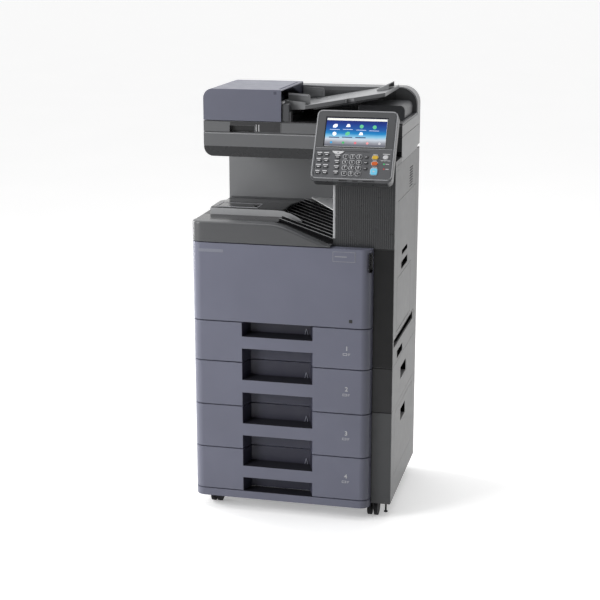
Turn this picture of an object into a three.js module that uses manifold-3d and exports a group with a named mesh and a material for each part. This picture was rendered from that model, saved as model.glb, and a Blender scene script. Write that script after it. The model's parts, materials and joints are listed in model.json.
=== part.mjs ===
// A floor-standing office photocopier: a colour print engine with a scanner and a document processor
// on top, one single-cassette feeder below it and a two-cassette feeder cabinet on casters.
//
// Millimetres, +Z up, +X to the operator's right, the operator stands at -Y. The origin is on the floor,
// under the middle of the machine's outer box. Pieces that touch keep a gap of FIT between them.

import * as THREE from 'three';
import { mergeVertices } from 'three/addons/utils/BufferGeometryUtils.js';
import Module from 'manifold-3d';

const wasm = await Module();
wasm.setup();

// ---- driving dimensions ----------------------------------------------------------------------------

const FIT = 0.4; // gap between neighbouring pieces
const SHEET = 3; // moulded sheet and folded steel
const SHELL = 4.6; // outer covers
const GROOVE = 1; // depth of a seam line in a cover

const LEFT = -264; // outer casing
const RIGHT = 264;
const FRONT = -214;
const BACK = 214;
const PANEL_REACH = 31; // how far the operation panel stands out in front of the fronts

const FACE_RIGHT = 212; // right edge of the fronts; a set-back post fills the rest
const FACE_DEPTH = 30; // how far the fronts wrap back
const FACE_RADIUS = 27; // their rounded vertical edges
const POST_Y = -183; // front plane of the set-back post and of the pillar above it

const GROUND = -15; // the floor under the casters, in the machine's own frame
const SKIRT_BOTTOM = 20;
const CASING_BOTTOM = 26;
const CASSETTE_SEAMS = [42.5, 160.7, 279.9, 400.3, 509.4]; // bottoms of cassettes 4, 3, 2, 1, then the top
const SEAM = 2.4; // open joint over each cassette's front, and over the skirt
const FEEDER_Z = 280; // seam below the single-cassette feeder
const MAIN_Z = 400; // seam below the main unit
const FRONT_COVER_TOP = 715.6;
const PILLAR_Z = 713.5;
const LEDGE_Z = 771; // top of the upper front panel
const SCANNER_BOTTOM = 930;
const SCANNER_TOP = 985;
const TOWER_TOP = 936; // top of the pillar, below the panel's bracket
const TOP_FRONT = -91; // front plane of the scanner and the document processor

const RUNNER_H = 15; // cassettes run this far above their seam
const CASSETTE_X = [-236, 200];
const CASSETTE_DEPTH = 330;
const CASSETTE_WALL = 62;
const PARTITION_X = 206; // wall between the cassettes and the paper path
const REAR_X = [LEFT + SHELL + FIT, RIGHT - SHELL - FIT]; // rear walls stand between the side covers
const REAR_Y = [BACK - 9, BACK - 4]; // and leave room for the rear covers behind them

const GRIP_X = [-129, 61]; // finger recess at the face
const GRIP_DEPTH = 38;
const GRIP_DRAFT = 14; // how much each side closes in over the recess's depth
const GRIP_BELOW = 49; // recess height under a seam
const GRIP_ABOVE = 37.5; // and over it

const PANEL_W = 205;
const PANEL_H = 190.4;
const PANEL_T = 26;
const PANEL_TILT = 29.9; // degrees back from upright
const PANEL_AT = [161.5, -245, 892]; // middle of the face's bottom edge

const CASTER_R = 24;
const CASTER_TRAIL = 14;
const CASTER_TOP = 67.6;
const CASTER_AT = { left: -216, right: 216, front: -144, rear: 165 };

const DP_Z = 986; // underside of the document processor

const degrees = THREE.MathUtils.degToRad;

// ---- materials -------------------------------------------------------------------------------------

const material = (color, roughness, metalness = 0) =>
  new THREE.MeshStandardMaterial({ color, roughness, metalness });

const BLUE = material(0x757a90, 0.5);
const LIGHT = material(0x8e8e90, 0.55);
const GREY = material(0x5a5a5c, 0.5);
const DARK = material(0x2a2a2c, 0.45);
const BLACK = material(0x121214, 0.4);
const STEEL = material(0x9a9da2, 0.35, 0.9);
const WHITE = material(0xe6e6e4, 0.5);
const GLASS = material(0xc8dcdc, 0.05);
const SCREEN = material(0x1c4fa8, 0.15);
const RUBBER = material(0x1d1d1f, 0.9);
const KEYS = material(0xd8d8d6, 0.45);
const GLOW = material(0x39a7d8, 0.35);
const YELLOW = material(0xd9b13c, 0.45);
const ORANGE = material(0xd07a3a, 0.45);

// ---- solids ----------------------------------------------------------------------------------------

// A closed three.js geometry as a manifold solid.
function solid(geometry) {
  const bare = geometry.clone();
  bare.deleteAttribute('normal');
  bare.deleteAttribute('uv');
  const merged = mergeVertices(bare, 1e-4);
  return new wasm.Manifold(new wasm.Mesh({
    numProp: 3,
    vertProperties: new Float32Array(merged.attributes.position.array),
    triVerts: new Uint32Array(merged.index.array),
  }));
}

// A manifold solid as a three.js geometry.
function geometryOf(body) {
  const mesh = body.getMesh();
  const geometry = new THREE.BufferGeometry();
  geometry.setAttribute('position', new THREE.BufferAttribute(new Float32Array(mesh.vertProperties), 3));
  geometry.setIndex(new THREE.BufferAttribute(new Uint32Array(mesh.triVerts), 1));
  geometry.computeVertexNormals();
  return geometry;
}

const unite = (first, ...rest) => rest.reduce((sum, next) => sum.add(next), first);
const cut = (first, ...rest) => rest.reduce((sum, next) => sum.subtract(next), first);

// A block from its low and high corners.
function block([x0, x1], [y0, y1], [z0, z1]) {
  const geometry = new THREE.BoxGeometry(x1 - x0, y1 - y0, z1 - z0);
  return solid(geometry.translate((x0 + x1) / 2, (y0 + y1) / 2, (z0 + z1) / 2));
}

// An outline drawn in (x, y) and raised along Z.
function raised(shape, z0, z1, curveSegments = 6) {
  const geometry = new THREE.ExtrudeGeometry(shape, { depth: z1 - z0, bevelEnabled: false, curveSegments });
  return solid(geometry.translate(0, 0, z0));
}

// An outline drawn in (x, z) and swept along Y.
function sweptY(shape, y0, y1, curveSegments = 6) {
  const geometry = new THREE.ExtrudeGeometry(shape, { depth: y1 - y0, bevelEnabled: false, curveSegments });
  return solid(geometry.rotateX(Math.PI / 2).translate(0, y1, 0));
}

// An outline drawn in (y, z) and swept along X.
function sweptX(shape, x0, x1, curveSegments = 6) {
  const geometry = new THREE.ExtrudeGeometry(shape, { depth: x1 - x0, bevelEnabled: false, curveSegments });
  return solid(geometry.rotateX(Math.PI / 2).rotateZ(Math.PI / 2).translate(x0, 0, 0));
}

function polygon(...points) {
  return new THREE.Shape(points.map(([u, v]) => new THREE.Vector2(u, v)));
}

// A rectangle whose corners may each be rounded: radii run bottom left, bottom right, top right, top left.
function rounded(u0, u1, v0, v1, radii) {
  const [bl, br, tr, tl] = Array.isArray(radii) ? radii : [radii, radii, radii, radii];
  const shape = new THREE.Shape();
  const corner = (u, v, r, from) => {
    if (r) shape.absarc(u, v, r, from, from + Math.PI / 2, false);
    else shape.lineTo(u, v);
  };
  shape.moveTo(u0 + bl, v0);
  corner(u1 - br, v0 + br, br, -Math.PI / 2);
  corner(u1 - tr, v1 - tr, tr, 0);
  corner(u0 + tl, v1 - tl, tl, Math.PI / 2);
  corner(u0 + bl, v0 + bl, bl, Math.PI);
  return shape;
}

// A rod of radius r along an axis, from a to b, through (p, q) on the other two axes in X, Y, Z order.
function rod(axis, r, [a, b], [p, q], segments = 20) {
  const geometry = new THREE.CylinderGeometry(r, r, b - a, segments);
  const middle = (a + b) / 2;
  if (axis === 'x') geometry.rotateZ(Math.PI / 2).translate(middle, p, q);
  if (axis === 'y') geometry.translate(p, middle, q);
  if (axis === 'z') geometry.rotateX(Math.PI / 2).translate(p, q, middle);
  return solid(geometry);
}

// A drafted pocket that narrows from an outer rectangle at y0 to an inner one at y1.
function draftedPocket([y0, outerX, outerZ], [y1, innerX, innerZ]) {
  const ring = (y, [x0, x1], [z0, z1]) => [x0, y, z0, x1, y, z0, x1, y, z1, x0, y, z1];
  const geometry = new THREE.BufferGeometry();
  const points = [...ring(y0, outerX, outerZ), ...ring(y1, innerX, innerZ)];
  geometry.setAttribute('position', new THREE.BufferAttribute(new Float32Array(points), 3));
  const quads = [[0, 1, 2, 3], [7, 6, 5, 4], [0, 4, 5, 1], [1, 5, 6, 2], [2, 6, 7, 3], [3, 7, 4, 0]];
  geometry.setIndex(quads.flatMap(([a, b, c, d]) => [a, b, c, a, c, d]));
  return solid(geometry);
}

// ---- assembly --------------------------------------------------------------------------------------

const machine = new THREE.Group();
machine.position.set(0, PANEL_REACH / 2, -GROUND);

// A group placed in its parent, turned by degrees about X, Y and Z.
function assembly(parent, [x, y, z] = [0, 0, 0], [rx, ry, rz] = [0, 0, 0]) {
  const group = new THREE.Group();
  group.position.set(x, y, z);
  group.rotation.set(degrees(rx), degrees(ry), degrees(rz));
  parent.add(group);
  return group;
}

function add(parent, name, body, finish) {
  const mesh = new THREE.Mesh(geometryOf(body), finish);
  mesh.name = name;
  parent.add(mesh);
}

// ---- fronts ----------------------------------------------------------------------------------------

// Plan of everything on the front plane: a band with rounded vertical edges.
function faceOutline() {
  return rounded(LEFT, FACE_RIGHT, FRONT, FRONT + FACE_DEPTH, [FACE_RADIUS, FACE_RADIUS, 0, 0]);
}

// The finger recess between the levels z0 and z1; slope0 and slope1 close it in with depth.
function grip(z0, z1, slope0, slope1) {
  const innerX = [GRIP_X[0] + GRIP_DRAFT, GRIP_X[1] - GRIP_DRAFT];
  const inner = [FRONT + GRIP_DEPTH, innerX, [z0 + slope0, z1 - slope1]];
  return draftedPocket([FRONT - 1, GRIP_X, [z0, z1]], inner);
}

// A cassette's moulded front, in the cassette's own frame: z = 0 is its bottom seam.
function cassetteFront(height, gripBelow) {
  const back = FRONT + FACE_DEPTH;
  const skin = 3.5;
  const web = 6;
  const bucketX = [GRIP_X[0] + GRIP_DRAFT - web, GRIP_X[1] - GRIP_DRAFT + web];
  const top = height - SEAM;
  const face = raised(faceOutline(), FIT, top);
  const bucket = block(bucketX, [back - 1, FRONT + GRIP_DEPTH + web], [FIT, top]);
  const hollowY = [FRONT + skin, back + 1];
  const hollowZ = [web, top - web];
  return cut(
    unite(face, bucket),
    grip(-1, GRIP_ABOVE, 0, web),
    grip(height - gripBelow, height + 1, web, 0),
    block([LEFT + FACE_RADIUS, GRIP_X[0] - web], hollowY, hollowZ),
    block([GRIP_X[1] + web, FACE_RIGHT - FACE_RADIUS], hollowY, hollowZ),
  );
}

// The paper tray behind a cassette's front.
function cassetteTray() {
  const y0 = FRONT + GRIP_DEPTH + 6 + FIT;
  const y1 = y0 + CASSETTE_DEPTH;
  const z0 = RUNNER_H + FIT;
  const wall = 2.5;
  const inside = block(
    [CASSETTE_X[0] + wall, CASSETTE_X[1] - wall],
    [y0 + wall, y1 - wall],
    [z0 + wall, z0 + CASSETTE_WALL + 1],
  );
  return cut(block(CASSETTE_X, [y0, y1], [z0, z0 + CASSETTE_WALL]), inside);
}

function addCassettes() {
  for (let i = 0; i < 4; i++) {
    const number = 4 - i;
    const height = CASSETTE_SEAMS[i + 1] - CASSETTE_SEAMS[i];
    const group = assembly(machine, [0, 0, CASSETTE_SEAMS[i]]);
    const gripBelow = number === 1 ? GRIP_BELOW - 9 : GRIP_BELOW;
    add(group, `cassette_${number}_front`, cassetteFront(height, gripBelow), BLUE);
    add(group, `cassette_${number}_tray`, cassetteTray(), DARK);
  }
}

// The engine's front cover, hollow behind, with a finger slot in its right edge.
function addFrontCover() {
  const z0 = CASSETTE_SEAMS[4];
  const back = FRONT + FACE_DEPTH;
  const rim = 5;
  const slot = block([FACE_RIGHT - 8, FACE_RIGHT + 1], [FRONT + 2, back - 6], [657, 706]);
  const hollow = block(
    [LEFT + FACE_RADIUS, FACE_RIGHT - FACE_RADIUS],
    [FRONT + 3.5, back + 1],
    [z0 + rim, FRONT_COVER_TOP - rim],
  );
  const body = cut(raised(faceOutline(), z0 + FIT, FRONT_COVER_TOP), hollow, slot);
  add(machine, 'front_cover', body, BLUE);
}

// The skirt under the lowest cassette, with two lugs that reach back and up to the cabinet floor.
function addSkirt() {
  const back = FRONT + FACE_DEPTH;
  const top = CASSETTE_SEAMS[0] - SEAM;
  const lugBack = FLOOR_Y[0] - FIT;
  const lugs = [[-165, GRIP_X[0] - 8], [GRIP_X[1] + 8, 150]].flatMap((x) => [
    block(x, [back - 1, lugBack], [SKIRT_BOTTOM, top]),
    block(x, [back + FIT, lugBack], [top - 1, 56]),
  ]);
  const bar = raised(faceOutline(), SKIRT_BOTTOM, top);
  const hollow = block(
    [LEFT + FACE_RADIUS, FACE_RIGHT - FACE_RADIUS],
    [FRONT + 4, back - 1],
    [SKIRT_BOTTOM - 1, CASSETTE_SEAMS[0] - 5],
  );
  add(machine, 'base_skirt', cut(unite(bar, ...lugs), hollow), BLUE);
}

// ---- unit frames and side covers -------------------------------------------------------------------

const FLOOR_X = [LEFT + SHELL + 1, RIGHT - 7]; // floors stop clear of the side covers and doors
const FLOOR_Y = [-169, REAR_Y[1] - 1];

// A floor or shelf with two cassette runners, at the level of a seam.
function shelf(z, runnerTop) {
  const plate = block(FLOOR_X, FLOOR_Y, [z, z + SHEET]);
  const runners = [[-232, -214], [178, 196]].map((x) =>
    block(x, [-168, 150], [z + SHEET - 1, runnerTop]));
  return unite(plate, ...runners);
}

// Rear wall, partition beside the cassettes and set-back front post of a unit, z0 to z1.
function uprights(z0, z1, partitionZ) {
  const rear = block(REAR_X, REAR_Y, [z0, z1]);
  const partition = block([PARTITION_X, PARTITION_X + SHEET], [POST_Y, REAR_Y[1] - 1], partitionZ);
  const post = block([PARTITION_X, RIGHT - 0.2], [POST_Y, POST_Y + 4], [z0, z1]);
  return [rear, partition, post];
}

const SIDE_Y = [POST_Y + 4 + FIT, BACK]; // right covers run from the post to the back
const LEFT_SIDE_Y = [FRONT + FACE_DEPTH + FIT, BACK];

function leftCover(z0, z1) {
  return block([LEFT, LEFT + SHELL], LEFT_SIDE_Y, [z0, z1]);
}

function rightCover(z0, z1) {
  return block([RIGHT - SHELL, RIGHT], SIDE_Y, [z0, z1]);
}

// A pocket for fingers in a cover on the right side, with its bucket behind the sheet.
function sideGrip(body, y, z, depth = 16) {
  const wall = 2.5;
  const grow = ([a, b]) => [a - wall, b + wall];
  const bucket = block([RIGHT - depth - wall, RIGHT - 1], grow(y), grow(z));
  return cut(unite(body, bucket), block([RIGHT - depth, RIGHT + 1], y, z));
}

// A column of level slots through a side cover whose outer face is at x.
function louvres(x, y, z0, count) {
  return Array.from({ length: count }, (_, i) =>
    block([x - SHELL - 1, x + SHELL + 1], y, [z0 + 7 * i, z0 + 7 * i + 3]));
}

const SIDE_DOOR = { y: [-134, 154], z: [91, 263] };
const ENGINE_DOOR = { y: [-135, 156], z: [474.5, 827] };

// The hole in a cover that a door fills.
function doorway({ y, z }) {
  return block([RIGHT - SHELL - 1, RIGHT + 1], [y[0] - 0.8, y[1] + 0.8], [z[0] - 0.8, z[1] + 0.8]);
}

function addCabinet() {
  const top = FEEDER_Z - FIT;
  const floor = block(FLOOR_X, FLOOR_Y, [53, 57.5]);
  const middle = shelf(CASSETTE_SEAMS[1] + FIT, CASSETTE_SEAMS[1] + RUNNER_H);
  const walls = uprights(CASING_BOTTOM, top, [54, top]);
  add(machine, 'cabinet_frame', unite(floor, middle, ...walls), DARK);
  add(machine, 'cabinet_left_cover', leftCover(CASING_BOTTOM, top), LIGHT);
  add(machine, 'cabinet_right_cover', cut(rightCover(CASING_BOTTOM, top), doorway(SIDE_DOOR)), LIGHT);
  const door = block([RIGHT - 6, RIGHT], SIDE_DOOR.y, SIDE_DOOR.z);
  add(machine, 'cabinet_side_door', sideGrip(door, [-38, 38], [210, 244]), LIGHT);
}

function addFeeder() {
  const bottom = FEEDER_Z + FIT;
  const top = MAIN_Z - FIT;
  const floor = shelf(bottom, CASSETTE_SEAMS[2] + RUNNER_H);
  add(machine, 'feeder_frame', unite(floor, ...uprights(bottom, top, [bottom, top])), DARK);
  add(machine, 'feeder_left_cover', leftCover(bottom, top), LIGHT);
  add(machine, 'feeder_right_cover', sideGrip(rightCover(bottom, top), [-50, 40], [332, 365]), LIGHT);
}

function addMainUnit() {
  const bottom = MAIN_Z + FIT;
  const wallTop = 762;
  const floor = shelf(bottom, CASSETTE_SEAMS[3] + RUNNER_H);
  const engineFloor = block([FLOOR_X[0], PARTITION_X + SHEET], FLOOR_Y, [503, 507]);
  const rear = block(REAR_X, REAR_Y, [bottom, wallTop]);
  const partition = block([PARTITION_X, PARTITION_X + SHEET], [POST_Y, REAR_Y[1] - 1], [bottom, 505]);
  const post = block([PARTITION_X, RIGHT - 0.2], [POST_Y, POST_Y + 4], [bottom, PILLAR_Z - FIT]);
  add(machine, 'main_frame', unite(floor, engineFloor, rear, partition, post), DARK);
  const leftVents = [...louvres(LEFT, [40, 120], 560, 16), ...louvres(LEFT, [-120, -60], 640, 8)];
  add(machine, 'main_left_cover', cut(leftCover(bottom, wallTop), ...leftVents), LIGHT);

  const gapSlot = block([RIGHT - SHELL - 1, RIGHT + 1], [-168, 142], [450, 471]);
  const plate = cut(rightCover(bottom, 920.5), doorway(ENGINE_DOOR), gapSlot);
  const cover = sideGrip(plate, [-113, -27], [407, 428], 20);
  const seams = [
    block([RIGHT - GROOVE, RIGHT + 1], [155.4, 156.6], [829, 885]),
    block([RIGHT - GROOVE, RIGHT + 1], [-172, -128], [908.4, 909.6]),
    block([RIGHT - GROOVE, RIGHT + 1], [155.4, 156.6], [448, 473]),
  ];
  add(machine, 'main_right_cover', cut(cover, ...louvres(RIGHT, [47, 98], 835, 8), ...seams), LIGHT);
}

// The engine's side door carries the multi-purpose tray in a shallow well.
function addEngineDoor() {
  const well = { y: [-131, 94], z: [484, 627] };
  const plate = block([RIGHT - 6, RIGHT], ENGINE_DOOR.y, ENGINE_DOOR.z);
  const grow = ([a, b]) => [Math.max(a - 3, ENGINE_DOOR.y[0]), b + 3];
  const pan = block([RIGHT - 23, RIGHT - 5], grow(well.y), [well.z[0] - 3, well.z[1] + 3]);
  const hollow = block([RIGHT - 20, RIGHT + 1], well.y, well.z);
  let body = cut(unite(plate, pan), hollow);
  body = sideGrip(body, [-68, 31], [637, 657]);
  body = sideGrip(body, [-61, 27], [674, 687], 12);
  add(machine, 'engine_door', body, LIGHT);
  const tray = block([RIGHT - 6, RIGHT], [well.y[0] + 1, well.y[1] - 1], [486, 626]);
  const support = block([RIGHT - 11, RIGHT - 5.5], [well.y[0] + 12, well.y[1] - 12], [494, 618]);
  add(machine, 'multi_purpose_tray', unite(tray, support), LIGHT);
}

// ---- upper body ------------------------------------------------------------------------------------

// The grey panel over the front cover: its top edge runs level, then falls to the right.
function addUpperFrontPanel() {
  const z0 = FRONT_COVER_TOP + 2.6;
  const edge = new THREE.Shape();
  edge.moveTo(LEFT, z0);
  edge.lineTo(104, z0);
  edge.lineTo(96, z0 + 2);
  edge.lineTo(0, LEDGE_Z - 13);
  edge.quadraticCurveTo(-26, LEDGE_Z - 1, -60, LEDGE_Z);
  edge.lineTo(LEFT, LEDGE_Z);
  const body = sweptY(edge, FRONT, FRONT + FACE_DEPTH).intersect(raised(faceOutline(), z0 - 1, LEDGE_Z + 1));
  const hollow = block([LEFT + FACE_RADIUS, -70], [FRONT + 4, FRONT + FACE_DEPTH + 1], [z0 + 5, LEDGE_Z - 5]);
  add(machine, 'upper_front_panel', cut(body, hollow), GREY);
}

// The output tray: a level ledge and a raised tier at the left, and a ribbed ramp that falls to the
// paper exit at the right.
function addOutputTray() {
  const y0 = FRONT + FACE_DEPTH + FIT;
  const y1 = 154.6;
  const ledge = LEDGE_Z - 4;
  const t = 4;
  const profile = polygon(
    [LEFT, ledge], [-42, ledge], [0, ledge - 12], [100, 722], [188, 694],
    [188, 694 - t], [100, 722 - t], [0, ledge - 12 - t], [-42, ledge - t], [LEFT, ledge - t],
  );
  const tierTop = polygon([-105, ledge - 1], [-98, 787], [-10, 788], [140, 770], [140, ledge - 1]);
  const tier = sweptX(tierTop, -240, -44);
  const well = block([-226, -120], [-92, -40], [781, 790]);
  const ribShape = polygon(
    [-42, ledge + 10], [0, ledge - 4], [100, 730], [180, 704.5],
    [180, 694], [100, 720], [0, ledge - 14], [-42, ledge - 2],
  );
  const ribs = Array.from({ length: 10 }, (_, i) => sweptY(ribShape, -158 + 32 * i, -155 + 32 * i));
  const body = unite(sweptY(profile, y0, y1), cut(tier, well), ...ribs);
  const pillarRoom = block([105.6, 190], [y0 - 1, POST_Y + 4 + FIT], [680, 800]);
  add(machine, 'output_tray', cut(body, pillarRoom), BLACK);
}

// The column behind the output bay: a deep cap, open below.
function addRearColumn() {
  const z = [766, SCANNER_BOTTOM - FIT];
  const outer = block([LEFT, RIGHT - 7], [155, REAR_Y[1]], z);
  const inner = block([LEFT + 4, RIGHT - 11], [159, REAR_Y[1] - 4], [z[0] - 1, z[1] - 4]);
  add(machine, 'rear_column', cut(outer, inner), GREY);
}

// The pillar right of the output bay, with a return along the bay.
function addFrontPillar() {
  const face = block([106, RIGHT - 0.2], [POST_Y, POST_Y + 4], [PILLAR_Z, TOWER_TOP]);
  const edge = block([106, 112], [POST_Y, POST_Y + 40], [PILLAR_Z + 22, TOWER_TOP]);
  const top = block([106, RIGHT - SHELL - FIT], [POST_Y, TOP_FRONT - 1], [TOWER_TOP - 4, TOWER_TOP]);
  const side = block([RIGHT - SHELL, RIGHT], [POST_Y + 3, TOP_FRONT - 1], [921.2, TOWER_TOP]);
  add(machine, 'front_pillar', unite(face, edge, top, side), GREY);
}

// The fusing unit and the exit rollers stand in the tower right of the output bay.
function addFusingUnit() {
  const z0 = 706;
  const body = block([196, 250], [-150, 145], [z0, 800]);
  const upper = block([150, 250], [-150, 145], [790, 912]);
  const exit = block([140, 199], [-110, 105], [745, 752]);
  const rollers = [rod('y', 7, [-110, 105], [146, 741], 16), rod('y', 7, [-110, 105], [146, 756], 16)];
  add(machine, 'fusing_unit', unite(body, upper, exit, ...rollers), DARK);
}

// The intermediate transfer belt on its two end rollers.
function addTransferUnit() {
  const belt = rounded(-236, 180, 540, 588, 24);
  add(machine, 'transfer_belt_unit', sweptY(belt, -150, 140, 8), BLACK);
}

// Four toner containers side by side above the belt; black is the widest.
function addTonerContainers() {
  const containers = [
    { name: 'black', x: [-232, -122] },
    { name: 'cyan', x: [-116, -34] },
    { name: 'magenta', x: [-28, 54] },
    { name: 'yellow', x: [60, 142] },
  ];
  for (const { name, x } of containers) {
    const body = sweptY(rounded(x[0], x[1], 602, 686, 20), -168, 120);
    const knob = block([(x[0] + x[1]) / 2 - 4, (x[0] + x[1]) / 2 + 4], [-176, -167], [622, 666]);
    add(machine, `toner_container_${name}`, unite(body, knob), DARK);
  }
}

// ---- scanner ---------------------------------------------------------------------------------------

const GLASS_X = [-210, 150];
const GLASS_Y = [-62, 160];

function addScanner() {
  const lip = new THREE.Shape();
  lip.moveTo(TOP_FRONT, SCANNER_TOP);
  lip.lineTo(TOP_FRONT, 948);
  lip.quadraticCurveTo(TOP_FRONT, SCANNER_BOTTOM, TOP_FRONT + 22, SCANNER_BOTTOM);
  lip.lineTo(BACK, SCANNER_BOTTOM);
  lip.lineTo(BACK, SCANNER_TOP);
  const ends = rounded(-261, RIGHT, SCANNER_BOTTOM - 1, SCANNER_TOP + 1, [26, 2, 2, 2]);
  const outer = sweptX(lip, -262, RIGHT + 1).intersect(sweptY(ends, TOP_FRONT - 1, BACK + 1));
  const side = block([RIGHT - SHELL, RIGHT], [-172, 175], [921.2, SCANNER_BOTTOM + 3]);
  const bay = block([-232, 176], [-74, 172], [SCANNER_BOTTOM + 6, SCANNER_TOP - 4]);
  const loose = ([a, b]) => [a - 0.5, b + 0.5];
  const seat = block(loose(GLASS_X), loose(GLASS_Y), [SCANNER_TOP - 5, SCANNER_TOP + 1]);
  const sideBehind = cut(side, block([200, RIGHT + 1], [-200, TOP_FRONT], [900, SCANNER_BOTTOM + 4]));
  add(machine, 'scanner_housing', cut(unite(outer, sideBehind), bay, seat), GREY);
  const pane = block(GLASS_X, GLASS_Y, [SCANNER_TOP - 4, SCANNER_TOP - 0.4]);
  add(machine, 'platen_glass', pane, GLASS);
  const carriage = block([-226, -190], [-66, 164], [SCANNER_BOTTOM + 8, SCANNER_TOP - 8]);
  const lamp = block([-216, -200], [-60, 158], [SCANNER_TOP - 9, SCANNER_TOP - 6]);
  add(machine, 'scan_carriage', unite(carriage, lamp), DARK);
}

// ---- document processor ----------------------------------------------------------------------------

// Its base closes the platen; the tall housing along the back is one moulding with it.
function addDocumentProcessor() {
  const base = block([-261, RIGHT], [TOP_FRONT, BACK], [DP_Z, 1014]);
  const back = sweptY(rounded(LEFT + 1, RIGHT, 1010, 1087, [0, 0, 45, 8]), 164, BACK, 8);
  const ejectStop = sweptY(rounded(132, 250, 1010, 1052, [0, 0, 12, 4]), 20, 150);
  const handle = block([-190, -123], [TOP_FRONT - 1, TOP_FRONT + 16], [DP_Z - 1, DP_Z + 17]);
  const matSeat = block([-228, 180], [-74, 160], [DP_Z - 1, DP_Z + 3]);
  add(machine, 'processor_base', cut(unite(base, back, ejectStop), handle, matSeat), GREY);
  add(machine, 'platen_mat', block([-226, 178], [-72, 158], [DP_Z - 0.6, DP_Z + 2.6]), WHITE);

  const frame = block([-238, -58], [-80, 150], [1014 + FIT, 1058]);
  const post = block([-62, -28], [-84, -62], [1014 + FIT, 1040]);
  const ears = [-31, 27].map((y) => block([-84, -68], [y, y + 4], [1057, 1076]));
  add(machine, 'feeder_mechanism', unite(frame, post, ...ears), GREY);
  const shaft = rod('y', 4, [-26.6, 26.6], [-76, 1070], 12);
  const tyre = rod('y', 11, [-20, 20], [-76, 1070], 20);
  add(machine, 'pickup_roller', unite(shaft, tyre), RUBBER);

  const skin = rounded(-261, -52, 1014 + 1.5, 1097, [0, 0, 3, 25]);
  const core = rounded(-257.5, -51, 1013, 1093.5, [0, 0, 0, 21.5]);
  const cover = cut(sweptY(skin, TOP_FRONT, 162), sweptY(core, TOP_FRONT + 3.5, 158.5));
  add(machine, 'processor_cover', cover, BLUE);
}

const TRAY_KINK = [4, 1056]; // where the document tray's level part meets its ramp
const TRAY_END = [214, 1094];

// Height of the document tray's upper face at x.
function trayHeight(x) {
  if (x < TRAY_KINK[0]) return TRAY_KINK[1] + (x - TRAY_KINK[0]) * 0.11;
  const slope = (TRAY_END[1] - TRAY_KINK[1]) / (TRAY_END[0] - TRAY_KINK[0]);
  return TRAY_KINK[1] + (x - TRAY_KINK[0]) * slope;
}

function addDocumentTray() {
  const x0 = -49;
  const sheet = polygon(
    [x0, trayHeight(x0)], TRAY_KINK, TRAY_END, [TRAY_END[0], TRAY_END[1] - 10],
    [TRAY_KINK[0], TRAY_KINK[1] - 10], [x0, trayHeight(x0) - 8],
  );
  const lip = polygon(
    [x0, trayHeight(x0) - 2], [5, trayHeight(5) - 2], [5, 1063], [-2, 1064.5], [x0, 1069],
  );
  const notch = block([113, 131], [-63, -52], [1050, 1100]);
  const lips = [sweptY(lip, -62, -59), sweptY(lip, 152, 155)];
  add(machine, 'document_tray', cut(unite(sweptY(sheet, -62, 155), ...lips), notch), LIGHT);

  const fence = new THREE.Shape();
  fence.moveTo(-45, trayHeight(-45) + 0.6);
  fence.lineTo(4, trayHeight(4) + 0.6);
  fence.lineTo(14, trayHeight(14) + 0.6);
  fence.lineTo(14, 1074);
  fence.quadraticCurveTo(14, 1083, 5, 1083);
  fence.lineTo(-45, 1085);
  for (const [side, y] of [['front', -42], ['rear', 132]]) {
    add(machine, `width_guide_${side}`, sweptY(fence, y, y + 3), GREY);
  }

  const hinge = [176, trayHeight(176) + 0.8];
  const tip = [208, hinge[1] + 18];
  const flap = polygon(hinge, [hinge[0] + 32, trayHeight(208) + 0.8], tip, [hinge[0], hinge[1] + 5]);
  const ears = [24, 108].map((y) => sweptY(flap, y, y + 3));
  const plate = polygon([hinge[0], hinge[1] + 3], tip, [tip[0], tip[1] + 2], [hinge[0], hinge[1] + 5]);
  add(machine, 'document_stopper', unite(sweptY(plate, 24, 111), ...ears), LIGHT);
}

// ---- operation panel -------------------------------------------------------------------------------

const SCREEN_Z = [94, 170];
const SCREEN_X = [-77, 77];
const KEY_FIELD = { x: [-96, 42], z: [11, 82] }; // one moulded key mat
const SINGLE_KEYS = [
  { name: 'stop_key', x: 56, z: 66, w: 13, h: 8, finish: YELLOW },
  { name: 'reset_key', x: 56, z: 50, w: 13, h: 8, finish: ORANGE },
  { name: 'start_key', x: 56, z: 29, w: 15, h: 15, finish: GLOW },
  { name: 'power_key', x: 82, z: 67, w: 11, h: 9, finish: KEYS },
];

// Key caps of the mat: rows and columns of the number pad, then two blocks of function keys.
function keyCaps() {
  const caps = [];
  const addGrid = (xs, zs, w, h) => {
    for (const x of xs) for (const z of zs) caps.push([x, z, w, h]);
  };
  addGrid([-18, -1, 16], [67, 52, 37, 22], 12, 9);
  addGrid([33], [67, 52, 37], 10, 7);
  addGrid([-85, -67], [70, 54, 38, 22], 13, 6);
  addGrid([-39], [64, 50, 36, 22], 12, 6);
  return caps;
}

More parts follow.
